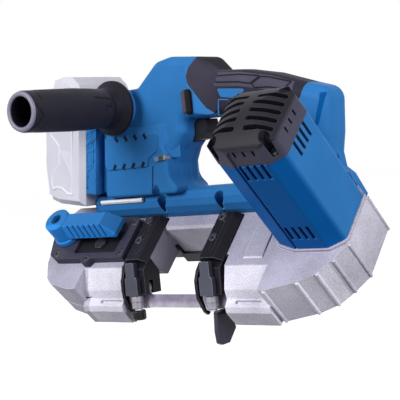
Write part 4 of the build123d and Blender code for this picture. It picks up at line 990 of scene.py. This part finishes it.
@dataclass
class SidePlates(Fitting):
    """Plates along lines on the side of the saw.

    Args:
        lines: both ends of each plate, along the blade and upwards.
        level: middle of the plates across the saw.
        half: half width and half thickness of a plate.
    """

    lines: list[Path]
    level: float
    half: Pair

    def build(self) -> None:
        """Lay each plate along its line."""
        lines = np.array(self.lines)
        x, z = ((lines[:, 1] - lines[:, 0]) / 2).T
        middle_x, middle_z = lines.mean(axis=1).T
        none = np.zeros(len(lines))
        across = np.stack([z, none, -x], -1) / np.hypot(x, z)[:, None] * self.half[0]
        out = np.stack([none, none - self.half[1], none], -1)
        centres = np.stack([middle_x, none + self.level, middle_z], -1)
        halves = np.stack([across, np.stack([x, none, z], -1), out], 1)
        settle(slabs(self.name, centres, halves), self.finish, self.carrier)


def panel_notches() -> SidePlates:
    """Dark plates of painted shade in the slanted notches along both edges of the side panel, a little longer than the
    cuts.
    """
    count, pitch, length, lean = 4, 12.0, 5.8, math.radians(36.0)
    upper_x, upper_z, lower_x, lower_z = -67.5, 154.5, -73.0, 124.0
    level, half = 15.2, (1.75, 0.65)
    steps = pitch * np.arange(count)
    run, rise = length * math.sin(lean), length * math.cos(lean)
    lines = [((x + run, upper_z - rise), (x, upper_z)) for x in upper_x + steps]
    lines += [((x, lower_z), (x + run, lower_z + rise)) for x in lower_x + steps]
    return SidePlates("panel_notch_shade", "body_shell_left", NOTCH_SHADE, lines, level, half)


def neck_frame() -> SidePlates:
    """Thin blue frame line under the window of the handle: one upright and one level plate."""
    foot, corner, end = (49.6, 163.5), (51.3, 177.6), (62.5, 176.2)
    lines = [(foot, corner), (corner, end)]
    return SidePlates("neck_frame_line", "grip_overmould", BLUE, lines, HANDLE_SIDE, (0.55, 0.4))


@dataclass
class TiltedSlabs(Fitting):
    """Slabs along the tilted frame of the wheels.

    Args:
        boxes: middle and half sides of each slab, along the blade, up the wheels and out of their plane.
    """

    boxes: list[tuple[Point, Point]]

    def build(self) -> None:
        """Turn all middles and half sides by the tilt."""
        boxes = np.array(self.boxes, float)
        halves = np.eye(3) * boxes[:, 1][:, None, :]
        settle(slabs(self.name, boxes[:, 0] @ TURN, halves @ TURN), self.finish, self.carrier)


def tilted_pieces() -> list[TiltedSlabs]:
    """Raised strip on the casting's front with a painted highlight on its lip and a painted shade line at its left
    edge, and a plate of painted shade on the floor of the cover's well.
    """
    strip = ((94.0, 43.2, 28.3), (9.7, 17.0, 1.3))
    lip = ((94.0, 25.7, 28.2), (9.9, 0.8, 1.0))
    line = ((83.9, 43.2, 27.6), (0.45, 17.0, 0.46))
    well = ((-93.5, 45.4, 31.75), (27.0, 14.0, 0.3))
    return [TiltedSlabs("casting_strip", "frame_casting", CAST, [strip]),
            TiltedSlabs("casting_strip_highlight", "frame_casting", CAST_HIGHLIGHT, [lip]),
            TiltedSlabs("casting_strip_shade_line", "frame_casting", CAST_SHADE, [line]),
            TiltedSlabs("cover_well_shade", "tension_cover", COVER_SHADE, [well])]


def cap_shade_sheets() -> TiltedSlabs:
    """Painted shade under the motor cap: a dark sheet under the crown, and one plate in the outer end of each of its
    slots.
    """
    along, up, out = 149.5, 64.5, 146.6
    reach, pitch, drop = 25.4, 8.5, 0.1
    crown_sheet, plate = (20.8, 20.8, 0.4), (4.3, 2.0, 0.35)
    ends = [((along + side, up + pitch * row, out - drop), plate) for side in (-reach, reach) for row in range(-2, 3)]
    return TiltedSlabs("cap_slot_shade_sheets", "motor_cap", SHADE, [((along, up, out), crown_sheet), *ends])


def vent_shade_sheets() -> TiltedSlabs:
    """Black sheets of painted shade deep in the vents of the motor housing: two rows in front and one on the flank."""
    wide, thick, length = 1.68, 0.4, 7.9
    along, up, front, flank = 152.35, 64.5, 34.3, 180.2
    levels, shifts = (51.0, 125.5), (-10.5, -3.5, 3.5, 10.5)
    boxes = [((along + shift, front, level), (wide, thick, length)) for level in levels for shift in shifts]
    boxes += [((flank, up + shift, levels[1]), (thick, wide, length)) for shift in shifts]
    return TiltedSlabs("motor_vent_shade_sheets", "motor_housing", SHADE, boxes)


@dataclass
class SideHandle:
    """Rubber sleeve and pale end ring of the side handle, both turned about the handle's axis.

    Args:
        carrier: CAD node that both sit on.
        axis: place of the axis along the blade and upwards.
        sleeve_y: both ends of the sleeve across the saw.
        along, around: points along the sleeve and round it.
        profile_y, profile_r: places across the saw, and the tube's radius at each.
        wall: depth of the sleeve's hidden side in the tube.
        foot, stand: height of the sleeve's ends, and its rise over them.
        ridge, ridge_turn: height of the crossed ridges, and their radians for each radian round and millimetre along.
        ridge_y: where the ridges start and are full, and where they fade and end.
        line_depth, line_radius: depth of the sunk lines, and the radius at which they are measured.
        lines: sunk lines on each half of the sleeve, round it and across the saw.
        end: profile of the end ring, its radius and its place across the saw.
    """

    carrier: str = "aux_handle"
    axis: Pair = (-62.0, 182.0)
    sleeve_y: Pair = (-7.0, -105.0)
    along: int = 190
    around: int = 240
    profile_y: Row = (-106.0, -90.0, -80.0, -45.0, -4.0)
    profile_r: Row = (18.0, 18.2, 18.4, 19.0, 18.1)
    wall: float = 1.4
    foot: float = -0.4
    stand: float = 0.75
    ridge: float = 0.3
    ridge_turn: Pair = (36.0, 1.35)
    ridge_y: Reach = (-94.0, -90.0, -24.0, -18.0)
    line_depth: float = 0.7
    line_radius: float = 18.6
    lines: tuple[Path, ...] = (((7.0, -105.5), (-5.6, -97.0), (-18.0, -103.0)), ((17.4, -96.3), (9.9, -96.1)),
                               ((9.0, -30.0), (7.4, -9.0), (0.0, -10.0), (1.0, -17.0), (-4.0, -17.5)))
    end: Path = ((13.5, -104.0), (13.5, -106.4), (14.2, -107.25), (16.4, -107.25), (17.4, -106.6), (17.9, -105.4),
                 (17.2, -104.0))

    def angles(self) -> Array:
        """Angles of the points round the handle."""
        return np.linspace(0, 2 * math.pi, self.around, endpoint=False)

    def turn(self, radius: Array, y: Array, angle: Array) -> Array:
        """Carry radius and place along the axis round by an angle."""
        x, z = self.axis
        return np.stack([x + radius * np.cos(angle), y + 0.0 * angle, z + radius * np.sin(angle)], -1)

    def sleeve(self) -> None:
        """Sleeve over the tube: the tube's profile, crossed ridges in the middle and sunk lines at both ends."""
        angle, y = np.meshgrid(self.angles(), np.linspace(*self.sleeve_y, self.along))
        tube = np.interp(y, self.profile_y, self.profile_r)
        swing = (np.mod(angle + math.pi / 2, math.pi) - math.pi / 2) * self.line_radius
        line = np.min([away(swing, y, path) for path in self.lines], axis=0)
        knurl = np.abs(np.sin(self.ridge_turn[0] * angle)) * np.abs(np.sin(self.ridge_turn[1] * y))
        knurl *= ramp(y, *self.ridge_y[:2]) * fade(y, *self.ridge_y[2:])
        ends = ramp(np.minimum(y - self.sleeve_y[1], self.sleeve_y[0] - y), 0.0, 1.2)
        skin = tube + self.foot + ends * (self.stand + self.ridge * knurl - self.line_depth * fade(line, 0.5, 1.1))
        points = np.concatenate([self.turn(skin, y, angle), self.turn(tube - self.wall, y, angle)[::-1]])
        piece = wrapped_grid("side_handle_sleeve", points)
        mark(piece, fade(line, 0.7, 1.5))
        settle(piece, SLEEVE, self.carrier)

    def end_ring(self) -> None:
        """End ring of the tube, pale as a painted highlight: a small closed profile turned about the axis."""
        profile = np.array(self.end)
        points = self.turn(profile[:, :1], profile[:, 1:], self.angles()[None, :])
        settle(wrapped_grid("side_handle_end", points[::-1]), TUBE_END, self.carrier)

    def build(self) -> None:
        """Make both pieces."""
        self.sleeve()
        self.end_ring()


def dress_nodes() -> None:
    """Give every CAD node its finish."""
    CAST.dress("frame_casting")
    BLUE.dress("body_shell_left", "body_shell_right", "battery_shoe")
    MOTOR_BLUE.dress("motor_housing")
    LEVER_BLUE.dress("tension_lever")
    BLACK.dress("back_cover", "trigger_switch")
    # The fan takes the near black painted shade of the vents' insides.
    SHADE.dress("cooling_fan")
    COVER_BLACK.dress("tension_cover", "work_stop")
    CAP_BLACK.dress("motor_cap")
    HANDLE.dress("aux_handle", "trigger")
    LOCK_BLACK.dress("lock_button")
    RUBBER.dress("grip_overmould")
    PALE.dress("battery_pack")
    PALE_GREY.dress("battery_latch")
    BLACK_STEEL.dress("guide_arms", "guide_heads", "guide_shields")
    GRAPHITE.dress("guide_fingers")
    GLOSS_BLACK.dress("front_guide_cap")
    DARK_SCREW.dress("face_screws", "back_cover_screws", "motor_cap_screws", "wheel_bolt", "pivot_bolt")
    BAND_STEEL.dress("saw_band")
    STEEL.dress("drive_shaft", "drive_gear", "cluster_gear", "cluster_pin", "motor_pinion", "lever_shaft", "axle_clip",
                "roller_pins", "aux_handle_bolt", "shaft_bearings", "idler_bearing", "tension_slide", "gearbox_plate",
                "motor_can")
    ROLLER.dress(*(f"{end}_{place}_roller" for end in ("front", "rear") for place in ("outer", "inner", "thrust")))
    KEY_SHEEN.dress("hex_key")
    ALLOY.dress("drive_wheel", "idler_wheel")
    TYRE.dress("drive_tyre", "idler_tyre")
    BRASS.dress("battery_terminals")
    COPPER.dress("rotor")
    FERRITE.dress("motor_magnets")
    BOARD.dress("control_board")
    LENS.dress("led_lens")


def main() -> None:
    """Build the studio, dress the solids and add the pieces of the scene."""
    logging.basicConfig(level=logging.INFO, format="%(name)s %(message)s")
    bpy.context.scene.view_settings.view_transform = "Standard"
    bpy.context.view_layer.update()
    Studio().build()
    dress_nodes()
    for piece in (GripSkin(), BatteryFace(), ShoeFace(), ArmStripe(), panel_notches(), neck_frame(), vent_shade_sheets(),
                  SideHandle(), *tilted_pieces(), cap_shade_sheets()):
        piece.build()


if __name__ == "__main__":
    main()
